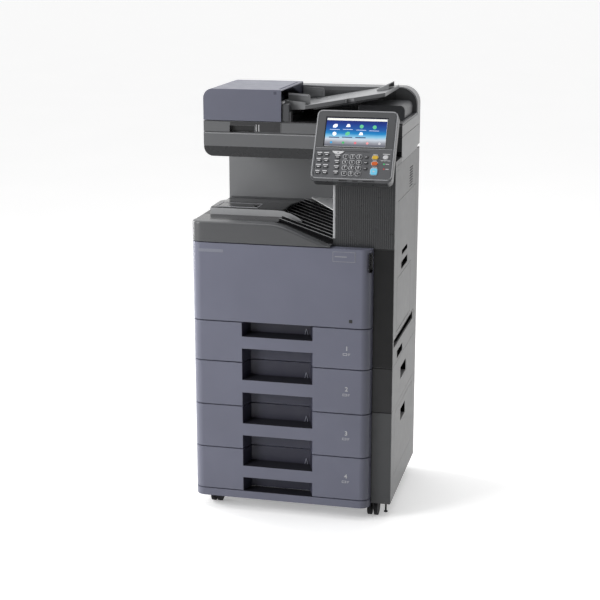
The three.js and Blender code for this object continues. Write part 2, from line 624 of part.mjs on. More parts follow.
// Built in the panel's own frame: X across, Z up along the face, +Y into the panel, face at y = 0.
function addOperationPanel() {
  const panel = assembly(machine, PANEL_AT, [-PANEL_TILT, 0, 0]);
  const half = PANEL_W / 2;
  const shell = sweptY(rounded(-half, half, 0, PANEL_H, 15), 0, PANEL_T);
  const screenSeat = block([SCREEN_X[0] - 2, SCREEN_X[1] + 2], [-1, 4], [SCREEN_Z[0] - 2, SCREEN_Z[1] + 2]);
  const matSeat = block(KEY_FIELD.x, [-1, 3], KEY_FIELD.z);
  const keyWells = SINGLE_KEYS.map(({ x, z, w, h }) =>
    block([x - w / 2 - 0.5, x + w / 2 + 0.5], [-1, 6], [z - h / 2 - 0.5, z + h / 2 + 0.5]));
  add(panel, 'panel_housing', cut(shell, screenSeat, matSeat, ...keyWells), DARK);

  const screenX = [SCREEN_X[0] - 1.5, SCREEN_X[1] + 1.5];
  const screenZ = [SCREEN_Z[0] - 1.5, SCREEN_Z[1] + 1.5];
  add(panel, 'touch_screen', block(screenX, [0.8, 3.6], screenZ), SCREEN);

  const inset = ([a, b]) => [a + 0.4, b - 0.4];
  const mat = block(inset(KEY_FIELD.x), [0.4, 2.6], inset(KEY_FIELD.z));
  const caps = keyCaps().map(([x, z, w, h]) =>
    sweptY(rounded(x - w / 2, x + w / 2, z - h / 2, z + h / 2, 2), -1.6, 1, 1));
  add(panel, 'key_mat', unite(mat, ...caps), GREY);

  for (const { name, x, z, w, h, finish } of SINGLE_KEYS) {
    const cap = sweptY(rounded(x - w / 2, x + w / 2, z - h / 2, z + h / 2, 3), -1.8, 3.6, 4);
    add(panel, name, cap, finish);
  }

  // The bracket stands on the pillar's top and carries the tilt hinge behind the panel.
  const arm = polygon([-176, TOWER_TOP + FIT], [TOP_FRONT - 1, TOWER_TOP + FIT], [TOP_FRONT - 1, 976],
    [-140, 976], [-158, 962], [-176, 952]);
  add(machine, 'panel_bracket', sweptX(arm, 116, 236), DARK);
}

// ---- casters ---------------------------------------------------------------------------------------

// A wheel of flat facets, one of them lying on the floor.
function wheel([x0, x1], facets = 28) {
  const outer = CASTER_R / Math.cos(Math.PI / facets);
  const geometry = new THREE.CylinderGeometry(outer, outer, x1 - x0, facets);
  geometry.rotateY(Math.PI / facets).rotateZ(Math.PI / 2);
  return solid(geometry.translate((x0 + x1) / 2, -CASTER_TRAIL, CASTER_R));
}

// Built about its swivel axis: a fin between twin wheels that roll on one axle.
function addCaster(name, x, y) {
  const caster = assembly(machine, [x, y, GROUND]);
  const hubBottom = CASTER_TOP - 7;
  const hub = rod('z', 17, [hubBottom, CASTER_TOP], [0, 0], 20);
  const fin = sweptX(polygon([-CASTER_TRAIL - 6, 16], [-CASTER_TRAIL + 6, 16], [10, 52], [10, hubBottom + 1],
    [-12, hubBottom + 1], [-CASTER_TRAIL - 6, 42]), -3, 3);
  const hole = rod('x', 4, [-5, 5], [-CASTER_TRAIL, CASTER_R], 16);
  add(caster, `caster_fork_${name}`, cut(unite(hub, fin), hole), DARK);
  const axle = rod('x', 3.4, [-6, 6], [-CASTER_TRAIL, CASTER_R], 16);
  const wheels = [[-14, -3.5], [3.5, 14]].map((span) => wheel(span));
  add(caster, `caster_wheels_${name}`, unite(axle, ...wheels), RUBBER);
}

addCabinet();
addFeeder();
addMainUnit();
addEngineDoor();
addSkirt();
addCassettes();
addFrontCover();
addUpperFrontPanel();
addOutputTray();
addRearColumn();
addFrontPillar();
addFusingUnit();
addTransferUnit();
addTonerContainers();
addScanner();
addDocumentProcessor();
addDocumentTray();
addOperationPanel();
addCaster('front_left', CASTER_AT.left, CASTER_AT.front);
addCaster('front_right', CASTER_AT.right, CASTER_AT.front);
addCaster('rear_left', CASTER_AT.left, CASTER_AT.rear);
addCaster('rear_right', CASTER_AT.right, CASTER_AT.rear);

export default machine;
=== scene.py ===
"""The looks of a floor-standing photocopier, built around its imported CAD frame.

Lengths inside the builders are millimetres. X runs to the operator's right and Y away from the operator, as
in the row's frame; Z runs up from the machine's own zero, which is LIFT above the floor. Most places are
taken from the box of the CAD node that a piece sits on.
"""
import json
import math

import bmesh
import bpy
from mathutils import Matrix, Vector


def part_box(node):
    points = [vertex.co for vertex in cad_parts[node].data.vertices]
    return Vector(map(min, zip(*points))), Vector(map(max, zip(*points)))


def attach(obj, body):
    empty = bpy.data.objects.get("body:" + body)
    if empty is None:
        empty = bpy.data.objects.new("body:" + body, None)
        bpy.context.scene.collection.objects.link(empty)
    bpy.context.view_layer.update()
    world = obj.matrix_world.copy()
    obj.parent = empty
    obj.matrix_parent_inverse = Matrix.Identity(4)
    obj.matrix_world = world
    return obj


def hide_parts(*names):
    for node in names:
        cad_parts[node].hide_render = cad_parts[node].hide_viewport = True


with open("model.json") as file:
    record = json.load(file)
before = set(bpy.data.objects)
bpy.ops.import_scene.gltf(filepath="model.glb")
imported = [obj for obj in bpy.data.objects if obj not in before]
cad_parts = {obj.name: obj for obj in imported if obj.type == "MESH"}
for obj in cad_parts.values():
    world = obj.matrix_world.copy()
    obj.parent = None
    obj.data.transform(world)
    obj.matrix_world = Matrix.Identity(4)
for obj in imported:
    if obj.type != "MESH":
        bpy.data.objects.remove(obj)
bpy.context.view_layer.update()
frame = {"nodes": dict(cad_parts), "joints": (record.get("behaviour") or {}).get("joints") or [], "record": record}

MM = 0.001
AXES = {"x": 0, "y": 1, "z": 2}
SKIRT_LEVEL = 20  # the skirt's underside above the machine's own zero
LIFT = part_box("base_skirt")[0][2] / MM - SKIRT_LEVEL
ROW_Y = 15.5  # how far the row's frame sets the machine back
SMOOTH_ANGLE = math.radians(38)
SHARP_TURN = 0.6  # radians between faces from which an edge is rounded
CORNERS = ("front_left", "front_right", "rear_left", "rear_right")
FRONT, UPPER, COVER, DARK, PALER, PANELS, KEYS, STEELS, SCREENS, RUBBERS, PADS = (
    "front_plastic", "upper_plastic", "cover_plastic", "dark_plastic", "pale_plastic",
    "panel_plastic", "key_plastic", "frame_steel", "screen_glass", "rubber", "white_pad")  # material slots


# ---- boxes and outlines ----------------------------------------------------------------------------

class Box:
    """A CAD node's box at rest, in millimetres. x, y and z give a side with its low and high ends moved."""

    def __init__(self, node):
        (self.x0, self.y0, self.z0), (self.x1, self.y1, self.z1) = ([v / MM for v in end]
                                                                    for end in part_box(node))
        self.z0, self.z1 = self.z0 - LIFT, self.z1 - LIFT
        self.cx, self.cy, self.cz = (self.x0 + self.x1) / 2, (self.y0 + self.y1) / 2, (self.z0 + self.z1) / 2

    def x(self, low, high):
        return self.x0 + low, self.x1 + high

    def y(self, low, high):
        return self.y0 + low, self.y1 + high

    def z(self, low, high):
        return self.z0 + low, self.z1 + high


def at(place, low, high):
    """A span given from a place."""
    return place + low, place + high


def steps(first, pitch, count):
    """Evenly pitched places."""
    return [first + pitch * k for k in range(count)]


def spread(axis, along, pair):
    """Puts a value for one axis among the values for the other two, in X, Y, Z order."""
    values = list(pair)
    values.insert(AXES[axis], along)
    return tuple(values)


def moved(points, u, v):
    return [(pu + u, pv + v) for pu, pv in points]


def inset(span, by):
    """A rectangle (u0, u1, v0, v1) drawn in on all sides."""
    return span[0] + by, span[1] - by, span[2] + by, span[3] - by


def arc(u, v, radius, first, last, count):
    """Points round a centre, from one angle to another in degrees."""
    turns = (math.radians(first + (last - first) * k / count) for k in range(count + 1))
    return [(u + radius * math.cos(t), v + radius * math.sin(t)) for t in turns]


def circle(u, v, radius, count=24):
    return arc(u, v, radius, 0, 360, count)[:-1]


def rounded(u0, u1, v0, v1, radius, count=5):
    """A rectangle with rounded corners; radius may be four, from bottom left, anticlockwise."""
    radii = radius if isinstance(radius, tuple) else [radius] * 4
    points = []
    for (u, v, start), r in zip(((u0, v0, 180), (u1, v0, 270), (u1, v1, 0), (u0, v1, 90)), radii):
        cu, cv = u + (r if u == u0 else -r), v + (r if v == v0 else -r)
        points += arc(cu, cv, r, start, start + 90, count) if r > 0 else [(u, v)]
    return points


# ---- solids ----------------------------------------------------------------------------------------

class Mold:
    """Collects solids in millimetres and turns them into one piece of a body."""

    def __init__(self, body="machine", matrix=None):
        self.bm, self.body, self.matrix = bmesh.new(), body, matrix or Matrix.Identity(4)

    def take(self, bm, bevel=0.0, segments=2):
        """Rounds a new solid's sharp edges and adds it to the collection."""
        bmesh.ops.recalc_face_normals(bm, faces=bm.faces)
        if bevel:
            rims = [e for e in bm.edges if e.is_manifold and e.calc_face_angle(0) > SHARP_TURN]
            bmesh.ops.bevel(bm, geom=rims, offset=bevel, segments=segments, profile=0.5, affect="EDGES",
                            clamp_overlap=True)
        mesh = bpy.data.meshes.new("part")
        bm.to_mesh(mesh)
        bm.free()
        self.bm.from_mesh(mesh)
        bpy.data.meshes.remove(mesh)
        return self

    def loft(self, rings, closed=False, weld=0.0, bevel=0.0, segments=2):
        """A solid skinned over rings of points that run the same way round; closed joins last to first."""
        bm = bmesh.new()
        loops = [[bm.verts.new(p) for p in ring] for ring in rings]
        for low, high in zip(loops, loops[1:] + loops[:closed]):
            for i in range(len(low)):
                j = (i + 1) % len(low)
                bm.faces.new((low[i], low[j], high[j], high[i]))
        for end in () if closed else (loops[0], loops[-1]):
            bm.faces.new(end)
        if weld:
            bmesh.ops.remove_doubles(bm, verts=bm.verts, dist=weld)
        return self.take(bm, bevel, segments)

    def prism(self, axis, outline, a, b, bevel=0.0, segments=2):
        """An outline raised along an axis from a to b. Its points run in the order of the other two axes."""
        return self.loft([[spread(axis, d, p) for p in outline] for d in (a, b)], bevel=bevel,
                         segments=segments)

    def ring(self, axis, outer, inner, a, b):
        """A ring between two outlines with the same number of points, from a to b along an axis."""
        return self.loft([[spread(axis, d, p) for p in line]
                          for d, line in ((a, outer), (a, inner), (b, inner), (b, outer))], closed=True)

    def block(self, x, y, z, bevel=0.5, segments=2):
        """A block between two corners, with rounded edges."""
        width = min(bevel, min(abs(b - a) for a, b in (x, y, z)) * 0.45)
        return self.prism("z", [(x[0], y[0]), (x[1], y[0]), (x[1], y[1]), (x[0], y[1])], *z, width, segments)

    def bars(self, axis, starts, width, u, v, bevel=0.4, segments=1):
        """Equal blocks that start at places along an axis; u and v are their spans on the other two."""
        for start in starts:
            self.block(*spread(axis, (start, start + width), (u, v)), bevel, segments)
        return self

    def lathe(self, axis, profile, centre, sides=28):
        """A turned solid: profile is (distance along the axis, radius), centre is on the axis."""
        turns = [2 * math.pi * (i + 0.5) / sides for i in range(sides)]
        return self.loft([[Vector(spread(axis, along, (r * math.cos(t), r * math.sin(t)))) + Vector(centre)
                           for t in turns] for along, r in profile])

    def roller(self, axis, a, b, radius, cut, chamfer, centre, sides):
        """A turned roller from a to b, its rims taken down by cut over the chamfer's length."""
        return self.lathe(axis, [(a, radius - cut), (a + chamfer, radius), (b - chamfer, radius),
                                 (b, radius - cut)],
                          centre, sides)

    def rod(self, start, end, radius, sides=12):
        """A straight round rod."""
        ahead = (Vector(end) - Vector(start)).normalized()
        side = ahead.cross(Vector((0.31, 0.17, 0.93))).normalized()
        up, turns = ahead.cross(side), [2 * math.pi * k / sides for k in range(sides)]
        return self.loft([[Vector(p) + radius * (math.cos(t) * side + math.sin(t) * up) for t in turns]
                          for p in (start, end)])

    def plate(self, axis, outer, holes, a, b, bevel=0.4):
        """A rectangular plate with rectangular holes, each (u0, u1, v0, v1), from a to b along an axis."""
        us = sorted({*outer[:2], *(u for h in holes for u in h[:2])})
        vs = sorted({*outer[2:], *(v for h in holes for v in h[2:])})
        bm, corners = bmesh.new(), {}
        for u0, u1 in zip(us, us[1:]):
            for v0, v1 in zip(vs, vs[1:]):
                if any(h[0] < (u0 + u1) / 2 < h[1] and h[2] < (v0 + v1) / 2 < h[3] for h in holes):
                    continue
                cell = ((u0, v0), (u1, v0), (u1, v1), (u0, v1))
                for p in cell:
                    corners[p] = corners.get(p) or bm.verts.new(spread(axis, a, p))
                bm.faces.new([corners[p] for p in cell])
        bmesh.ops.recalc_face_normals(bm, faces=bm.faces)
        raised = bmesh.ops.extrude_face_region(bm, geom=bm.faces[:])["geom"]
        bmesh.ops.translate(bm, vec=Vector(spread(axis, b - a, (0, 0))),
                            verts=[g for g in raised if isinstance(g, bmesh.types.BMVert)])
        bmesh.ops.recalc_face_normals(bm, faces=bm.faces)
        bmesh.ops.dissolve_limit(bm, angle_limit=0.01, verts=bm.verts, edges=bm.edges)
        return self.take(bm, bevel)

    def digits(self, text, height, depth, matrix, bold):
        """Plain numerals, standing up the local Y axis, raised along local Z."""
        curve = bpy.data.curves.new("numeral", "FONT")
        curve.body, curve.size, curve.extrude, curve.offset = text, height / 0.7, depth / 2, bold
        curve.align_x, curve.align_y, curve.resolution_u = "CENTER", "CENTER", 3
        carrier = bpy.data.objects.new("numeral", curve)
        mesh = bpy.data.meshes.new_from_object(carrier)
        mesh.transform(matrix)
        self.bm.from_mesh(mesh)
        bpy.data.objects.remove(carrier)
        bpy.data.meshes.remove(mesh)

    def piece(self, name, material, slot=None, replaces=()):
        """Ends the collection: one mesh object that rides on the body."""
        bmesh.ops.remove_doubles(self.bm, verts=self.bm.verts, dist=0.001)
        for face in self.bm.faces:
            face.smooth = True
        for edge in self.bm.edges:
            edge.smooth = edge.is_manifold and edge.calc_face_angle(0) < SMOOTH_ANGLE
        mesh = bpy.data.meshes.new(name)
        self.bm.to_mesh(mesh)
        self.bm.free()
        mesh.transform(Matrix.Scale(MM, 4) @ Matrix.Translation((0, 0, LIFT)) @ self.matrix)
        mesh.materials.append(material)
        obj = bpy.data.objects.new(name, mesh)
        bpy.context.scene.collection.objects.link(obj)
        obj.modifiers.new("even_shading", "WEIGHTED_NORMAL").keep_sharp = True
        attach(obj, self.body)
        if replaces:
            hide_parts(*replaces)


# ---- materials -------------------------------------------------------------------------------------


def linear(*levels):
    """Linear colour from 0 to 255 display levels."""
    return tuple(((c / 255 + 0.055) / 1.055) ** 2.4 if c > 10 else c / 255 / 12.92 for c in levels) + (1,)


def shade(colour, factor):
    return tuple(min(1, c * factor) for c in colour[:3]) + (1,)


class Paint:
    """A material's node tree, with a shader and procedural values on object coordinates."""

    def __init__(self, name, slot=None):
        self.material = bpy.data.materials.new(name)
        self.material.use_nodes = True
        self.nodes, self.links = self.material.node_tree.nodes, self.material.node_tree.links
        self.place = self.add("ShaderNodeTexCoord").outputs["Object"]

    def fill(self, node, values):
        """Sets a node: Capital names are its sockets, with _ for a space, and the others its own settings."""
        for key, value in values.items():
            if not key[0].isupper():
                setattr(node, key, value)
            elif isinstance(value, bpy.types.NodeSocket):
                self.links.new(value, node.inputs[key.replace("_", " ")])
            else:
                node.inputs[key.replace("_", " ")].default_value = value
        return node

    def add(self, kind, **values):
        return self.fill(self.nodes.new(kind), values)

    def shader(self, **values):
        self.fill(self.nodes["Principled BSDF"], values)
        return self.material

    def noise(self, scale, detail=2.0):
        return self.add("ShaderNodeTexNoise", Scale=scale, Detail=detail, Vector=self.place).outputs["Fac"]

    def between(self, source, low, high):
        """Maps a noise value, which lives around one half, onto low to high."""
        return self.add("ShaderNodeMapRange", From_Min=0.3, From_Max=0.7, To_Min=low, To_Max=high,
                        Value=source).outputs["Result"]

    def tint(self, source, dark, light):
        return self.add("ShaderNodeMix", data_type="RGBA", A=dark, B=light, Factor=source).outputs["Result"]

    def bump(self, source, strength, distance):
        return self.add("ShaderNodeBump", Strength=strength, Distance=distance,
                        Height=source).outputs["Normal"]

    def stretch(self, scale):
        self.place = self.add("ShaderNodeMapping", Scale=scale, Vector=self.place).outputs["Vector"]


def moulded(name, slot, levels, roughness=0.42, grain=0.18, grain_scale=1500, specular=0.5,
            variation=0.06, coat=0.0, mottle=1.0):
    """Moulded plastic: fine spark-eroded grain, slow drift in colour and gloss, and faint handling marks."""
    paint, colour = Paint(name, slot), linear(*levels)
    drift = paint.between(paint.noise(5.0, 3.0), 0.0, 1.0)
    return paint.shader(
        Base_Color=paint.tint(drift, shade(colour, 1 - variation), shade(colour, 1 + variation)),
        Roughness=paint.between(paint.noise(38.0, 5.0), roughness - 0.035 * mottle,
                                roughness + 0.05 * mottle),
        Normal=paint.bump(paint.noise(grain_scale), grain, 0.00012),
        Specular_IOR_Level=specular, Coat_Weight=coat, Coat_Roughness=0.2)


def metal(name, levels, roughness, stretch):
    """Zinc-plated or brushed sheet: long faint scratches along the stretched axis."""
    paint, colour = Paint(name, STEELS), linear(*levels)
    paint.stretch(stretch)
    scratches = paint.noise(260.0, 4.0)
    return paint.shader(
        Base_Color=paint.tint(paint.between(scratches, 0, 1), shade(colour, 0.82), shade(colour, 1.08)),
        Roughness=paint.between(scratches, roughness - 0.08, roughness + 0.1),
        Normal=paint.bump(scratches, 0.12, 0.0001), Metallic=1.0)


def glass(name, levels, roughness=0.04):
    """Clear pane with a faint film of dust in its gloss."""
    paint, colour = Paint(name), linear(*levels)
    film = paint.noise(30.0, 5.0)
    return paint.shader(Base_Color=paint.tint(film, shade(colour, 0.97), colour),
                        Roughness=paint.between(film, roughness * 0.6, roughness * 1.6),
                        Transmission_Weight=1.0, IOR=1.5)


def lit(name, levels, strength, slot=SCREENS):
    """A lit mark or lamp: its own colour drifts a little, and it glows."""
    paint, colour = Paint(name, slot), linear(*levels)
    tone = paint.tint(paint.noise(300.0), shade(colour, 0.93), shade(colour, 1.05))
    return paint.shader(Base_Color=tone, Emission_Color=tone, Emission_Strength=strength,
                        Specular_IOR_Level=0.3, Roughness=0.3)


def display(name, box):
    """The screen's backdrop: deep blue at the top, through cyan, to a pale horizon and grey at the foot."""
    paint = Paint(name)
    level = paint.add("ShaderNodeSeparateXYZ", Vector=paint.place).outputs["Z"]
    height = paint.add("ShaderNodeMapRange", From_Min=(box.z0 + LIFT) * MM,
                       From_Max=(box.z1 + LIFT) * MM, Value=level)
    wave = paint.add("ShaderNodeMath", operation="MULTIPLY_ADD")
    wave.inputs[1].default_value = 0.1
    paint.links.new(paint.noise(22.0, 3.0), wave.inputs[0])
    paint.links.new(height.outputs["Result"], wave.inputs[2])
    ramp = paint.add("ShaderNodeValToRGB", Fac=wave.outputs["Value"])
    stops = [(0.0, (150, 150, 160)), (1.0, (6, 22, 96)), (0.10, (108, 108, 118)), (0.22, (158, 160, 170)),
             (0.33, (212, 222, 234)), (0.43, (138, 206, 240)), (0.53, (10, 140, 208)), (0.66, (18, 92, 172)),
             (0.85, (6, 50, 142))]
    for k, (position, levels) in enumerate(stops):
        elements = ramp.color_ramp.elements
        stop = elements[k] if k < 2 else elements.new(position)
        stop.position, stop.color = position, linear(*levels)
    return paint.shader(Base_Color=(0.01, 0.01, 0.012, 1), Emission_Color=ramp.outputs["Color"],
                        Emission_Strength=0.9, Roughness=0.12)


SMOOTH = {"grain": 0.05, "variation": 0.03, "mottle": 0.3}  # broad glossy covers
SOFT = {"roughness": 0.72, "grain": 0.5, "grain_scale": 700, "specular": 0.3, "variation": 0.12}  # rubber

BLUE = moulded("blue_grey_plastic", FRONT, (128, 130, 148), 0.34, 0.2)
# The fronts' blue-grey plastic in a darker copy for the processor cover: painted shade.
BLUE_COVER_PAINTED_SHADE = moulded("blue_grey_cover_painted_shade", FRONT, (114, 116, 132), 0.36, 0.2)
BLUE_DARK = moulded("blue_grey_shade", FRONT, (84, 86, 102), 0.42, 0.2)
PLATE_TINT = moulded("inlay_plate", FRONT, (150, 152, 166), 0.34, 0.1)
# Dark copies of the front plastic for the finger recesses: painted shade, darkest on the recess floors.
GRIP_PAINTED_SHADE = moulded("grip_painted_shade_plastic", FRONT, (42, 42, 58), 0.5, 0.2)
GRIP_UPPER_PAINTED_SHADE = moulded("grip_upper_painted_shade_plastic", FRONT, (66, 67, 83), 0.5, 0.2)
GRIP_FLOOR_PAINTED_SHADE = moulded("grip_floor_painted_shade_plastic", FRONT, (26, 26, 34), 0.55, 0.2)
LIGHT = moulded("side_cover_plastic", COVER, (132, 132, 133), 0.46, 0.14, 1100, mottle=0.6)
COVER_SHADE = moulded("side_cover_shade", COVER, (118, 118, 119), 0.46, 0.3)
# Three tones of one dark plastic for the post's face, darker towards the top: painted shade.
POST_SHADE_LOW = moulded("post_lower_painted_shade", COVER, (68, 69, 71), 0.4, 0.2)
POST_SHADE_MID = moulded("post_middle_painted_shade", COVER, (30, 30, 32), 0.38, 0.2, specular=0.35)
POST_SHADE_TOP = moulded("post_upper_painted_shade", DARK, (13, 13, 15), 0.36, 0.2, specular=0.25)
POST = moulded("post_plastic", DARK, (28, 28, 30), 0.42, 0.25)
GREY = moulded("upper_plastic", UPPER, (94, 95, 97), 0.31, **SMOOTH)
DECK = moulded("scanner_plastic", UPPER, (114, 115, 117), 0.31, **SMOOTH)
BAY_WALL = moulded("bay_wall_plastic", UPPER, (136, 137, 139), 0.3, **SMOOTH)
# Near-black band for the foot of the scanner's front lip: painted shade.
LIP_PAINTED_SHADE = moulded("scanner_lip_painted_shade", UPPER, (40, 41, 43), 0.27, **SMOOTH)
PILLAR = moulded("pillar_plastic", UPPER, (48, 49, 51), 0.34, 0.2)
FLUTE = moulded("flute_plastic", UPPER, (62, 63, 65), 0.3, 0.15)
EXIT_FLAP = moulded("exit_flap_plastic", UPPER, (238, 239, 240), 0.3, 0.08)
SLATE = moulded("slate_plastic", UPPER, (78, 79, 82), 0.36, 0.2)
BLACK = moulded("black_plastic", DARK, (24, 24, 26), 0.34, 0.3)
SATIN_BLACK = moulded("satin_black_plastic", DARK, (14, 14, 15), 0.28, 0.12)
VENT_BLACK = moulded("vent_black", DARK, (12, 12, 13), 0.9, 0.1, specular=0.05)
INNER = moulded("inner_frame_plastic", DARK, (66, 67, 70), 0.5, 0.3)
INLAY = moulded("inlay_plastic", DARK, (46, 46, 48), 0.36, 0.2)
CAP = moulded("key_cap_plastic", DARK, (74, 75, 78), 0.4, 0.2)
SOFT_PRINT = moulded("soft_print", DARK, (178, 179, 184), 0.5, 0.1)
TIER = moulded("tray_top_plastic", DARK, (34, 34, 36), 0.2, 0.03, variation=0.02, mottle=0.15)
TIER_FRONT = moulded("tray_front_plastic", DARK, (176, 177, 179), 0.28, 0.08, mottle=0.3)
# Near-white strips on the tops of the tray's ribs: painted highlights.
RIB_HIGHLIGHT = moulded("rib_painted_highlight_plastic", DARK, (236, 237, 239), 0.25, 0.08)
GREEN_PART = moulded("release_green", DARK, (46, 140, 88), 0.4)
BELT = moulded("belt_film", DARK, (30, 28, 30), 0.18, 0.05, 300, coat=0.4)
PALE = moulded("pale_plastic", PALER, (196, 197, 199), 0.38, 0.2)
TRIM = moulded("trim_plastic", PALER, (214, 215, 217), 0.3, 0.1)
TRAY_GREY = moulded("document_tray_plastic", PALER, (146, 147, 149), 0.32, 0.12)
TRAY_EDGE = moulded("document_tray_edge_plastic", PALER, (98, 99, 101), 0.32, 0.12)
MID_PALE = moulded("mid_pale_plastic", PALER, (128, 129, 131), 0.36, 0.15)
WHITE_PAD = moulded("white_pad", PADS, (232, 232, 230), 0.6, 0.4, 900)
BEZEL = moulded("panel_plastic", PANELS, (92, 93, 95), 0.3, 0.15)
KEY_PLATE = moulded("key_plate_plastic", PANELS, (104, 105, 108), 0.34, 0.2)
RIM = moulded("panel_rim_plastic", PANELS, (176, 177, 180), 0.28, 0.1)
PRINT = moulded("pale_print", KEYS, (226, 226, 228), 0.5, 0.1)
KEY_RING = moulded("key_ring_print", KEYS, (216, 217, 220), 0.45, 0.1)
KEY_WHITE = moulded("white_key", KEYS, (228, 228, 230), 0.35, 0.12)
YELLOW = moulded("yellow_key", "stop_cap", (238, 196, 66), 0.35, 0.15)
ORANGE = moulded("orange_key", "reset_cap", (232, 112, 52), 0.35, 0.15)
START_GLOW = lit("start_glow", (110, 186, 214), 0.42, "start_lens")
GREEN_LED = lit("green_lamp", (60, 190, 110), 0.8, KEYS)
RED_LED = lit("red_lamp", (200, 60, 50), 0.5, KEYS)
TONER = {colour: moulded(f"label_{colour}", DARK, levels) for colour, levels in {
    "black": (38, 38, 40), "cyan": (20, 150, 200), "magenta": (204, 40, 120),
    "yellow": (240, 205, 40)}.items()}
STEEL = metal("zinc_plated_steel", (172, 174, 178), 0.34, (1, 1, 12))
BRIGHT = metal("bright_steel", (205, 206, 210), 0.2, (12, 1, 1))
TYRE = moulded("caster_tyre", RUBBERS, (34, 34, 36), **SOFT)
ROLLER = moulded("feed_roller_rubber", RUBBERS, (70, 76, 88), **SOFT)
PANE = glass("clear_pane", (235, 245, 243))
SCREEN = display("screen_backdrop", Box("touch_screen"))


# ---- CAD nodes that stay ---------------------------------------------------------------------------

def smoothing_group():
    """Geometry nodes that drop imported corner normals and smooth every edge that is not sharp."""
    group = bpy.data.node_groups.new("smooth_by_angle", "GeometryNodeTree")
    for way in ("INPUT", "OUTPUT"):
        group.interface.new_socket("Geometry", in_out=way, socket_type="NodeSocketGeometry")
    start, end, strip, faces, edges, angle, below = (group.nodes.new(kind) for kind in (
        "NodeGroupInput", "NodeGroupOutput", "GeometryNodeRemoveAttribute", "GeometryNodeSetShadeSmooth",
        "GeometryNodeSetShadeSmooth", "GeometryNodeInputMeshEdgeAngle", "FunctionNodeCompare"))
    strip.inputs["Name"].default_value = "custom_normal"
    faces.domain, edges.domain = "FACE", "EDGE"
    below.operation = "LESS_THAN"
    below.inputs["B"].default_value = SMOOTH_ANGLE
    for source, target in ((start.outputs[0], strip.inputs["Geometry"]),
                           (strip.outputs["Geometry"], faces.inputs["Geometry"]),
                           (faces.outputs["Geometry"], edges.inputs["Geometry"]),
                           (angle.outputs["Unsigned Angle"], below.inputs["A"]),
                           (below.outputs["Result"], edges.inputs["Shade Smooth"]),
                           (edges.outputs["Geometry"], end.inputs[0])):
        group.links.new(source, target)
    return group


SMOOTHING = smoothing_group()


def finish_node(name, material, bevel=0.6, clamp=False):
    """Gives a CAD node its finish: merged facets, softened edges and smooth round surfaces."""
    node = frame["nodes"][name]
    for slot in node.material_slots:
        slot.material = material
    if not node.material_slots:
        node.data.materials.append(material)
    node.modifiers.new("join", "WELD").merge_threshold = 0.00001
    flat = node.modifiers.new("planes", "DECIMATE")
    flat.decimate_type, flat.angle_limit = "DISSOLVE", math.radians(0.3)
    if bevel:
        soft = node.modifiers.new("edges", "BEVEL")
        soft.width, soft.segments, soft.limit_method = bevel * MM, 2, "ANGLE"
        soft.angle_limit, soft.use_clamp_overlap = SMOOTH_ANGLE, clamp
    node.modifiers.new("smooth", "NODES").node_group = SMOOTHING
    node.modifiers.new("even_shading", "WEIGHTED_NORMAL").keep_sharp = True


COLOURS = ("black", "cyan", "magenta", "yellow")
CASSETTES = (1, 2, 3, 4)
CAD_FINISH = [  # material, width of the rounded edges, nodes
    (BLUE, 0.6, ["base_skirt", "front_cover", *(f"cassette_{n}_front" for n in CASSETTES)]),
    (BLUE_COVER_PAINTED_SHADE, 0.6, ["processor_cover"]),
    (LIGHT, 0.6, ["cabinet_left_cover", "cabinet_right_cover", "cabinet_side_door", "feeder_left_cover",
                  "feeder_right_cover", "main_left_cover", "main_right_cover", "engine_door",
                  "multi_purpose_tray"]),
    (GREY, 0.6, ["upper_front_panel", "feeder_mechanism"]),
    (BAY_WALL, 0.6, ["rear_column"]),
    (DECK, 0.6, ["scanner_housing", "processor_base"]),
    (POST, 0.6, ["cabinet_frame", "feeder_frame", "main_frame"]),
    (PILLAR, 0.6, ["front_pillar"]),
    (BLACK, 0.6, ["output_tray", "panel_bracket", "scan_carriage",
                  *(f"toner_container_{c}" for c in COLOURS)]),
    (INNER, 0.6, ["fusing_unit", *(f"cassette_{n}_tray" for n in CASSETTES)]),
    (TRAY_GREY, 0.6, ["document_tray", "document_stopper"]),
    (MID_PALE, 0.6, ["width_guide_front", "width_guide_rear"]),
    (WHITE_PAD, 0.6, ["platen_mat"]), (BEZEL, 0.6, ["panel_housing"]), (BELT, 0.6, ["transfer_belt_unit"]),
    (PANE, 0.3, ["platen_glass"]), (SCREEN, 0, ["touch_screen"]), (ROLLER, 0.5, ["pickup_roller"]),
    (KEY_PLATE, 0.4, ["key_mat"]), (YELLOW, 0.6, ["stop_key"]), (ORANGE, 0.6, ["reset_key"]),
    (START_GLOW, 0.8, ["start_key"]), (KEY_WHITE, 0.6, ["power_key"]),
    (BLACK, 0.5, [f"caster_fork_{c}" for c in CORNERS]), (TYRE, 0.8, [f"caster_wheels_{c}" for c in CORNERS])]
TIGHT_CORNERS = ("front_pillar", "scanner_housing", "cassette_1_front", "cassette_3_front")

for finish, edge_width, node_names in CAD_FINISH:
    for node_name in node_names:
        finish_node(node_name, finish, edge_width, node_name in TIGHT_CORNERS)


# ---- fronts ----------------------------------------------------------------------------------------

UPRIGHT = Matrix.Rotation(math.radians(90), 4, "X")  # stands a flat drawing up, facing the operator
GRIP_X0, GRIP_X1 = -129, 61  # finger recess at the face
GRIP_DEPTH = 38
GRIP_DRAFT, GRIP_RISE = 14, 6  # how far its sides and its floor close in with depth
GRIP_BACK = (GRIP_X0 + GRIP_DRAFT, GRIP_X1 - GRIP_DRAFT)
GRIP_ABOVE, GRIP_BELOW, GRIP_BELOW_TOP = 37.5, 49, 40  # recess heights over and under a seam
SEAM_GAP, FIT = 2.4, 0.4  # open joint over a front, and the gap under it


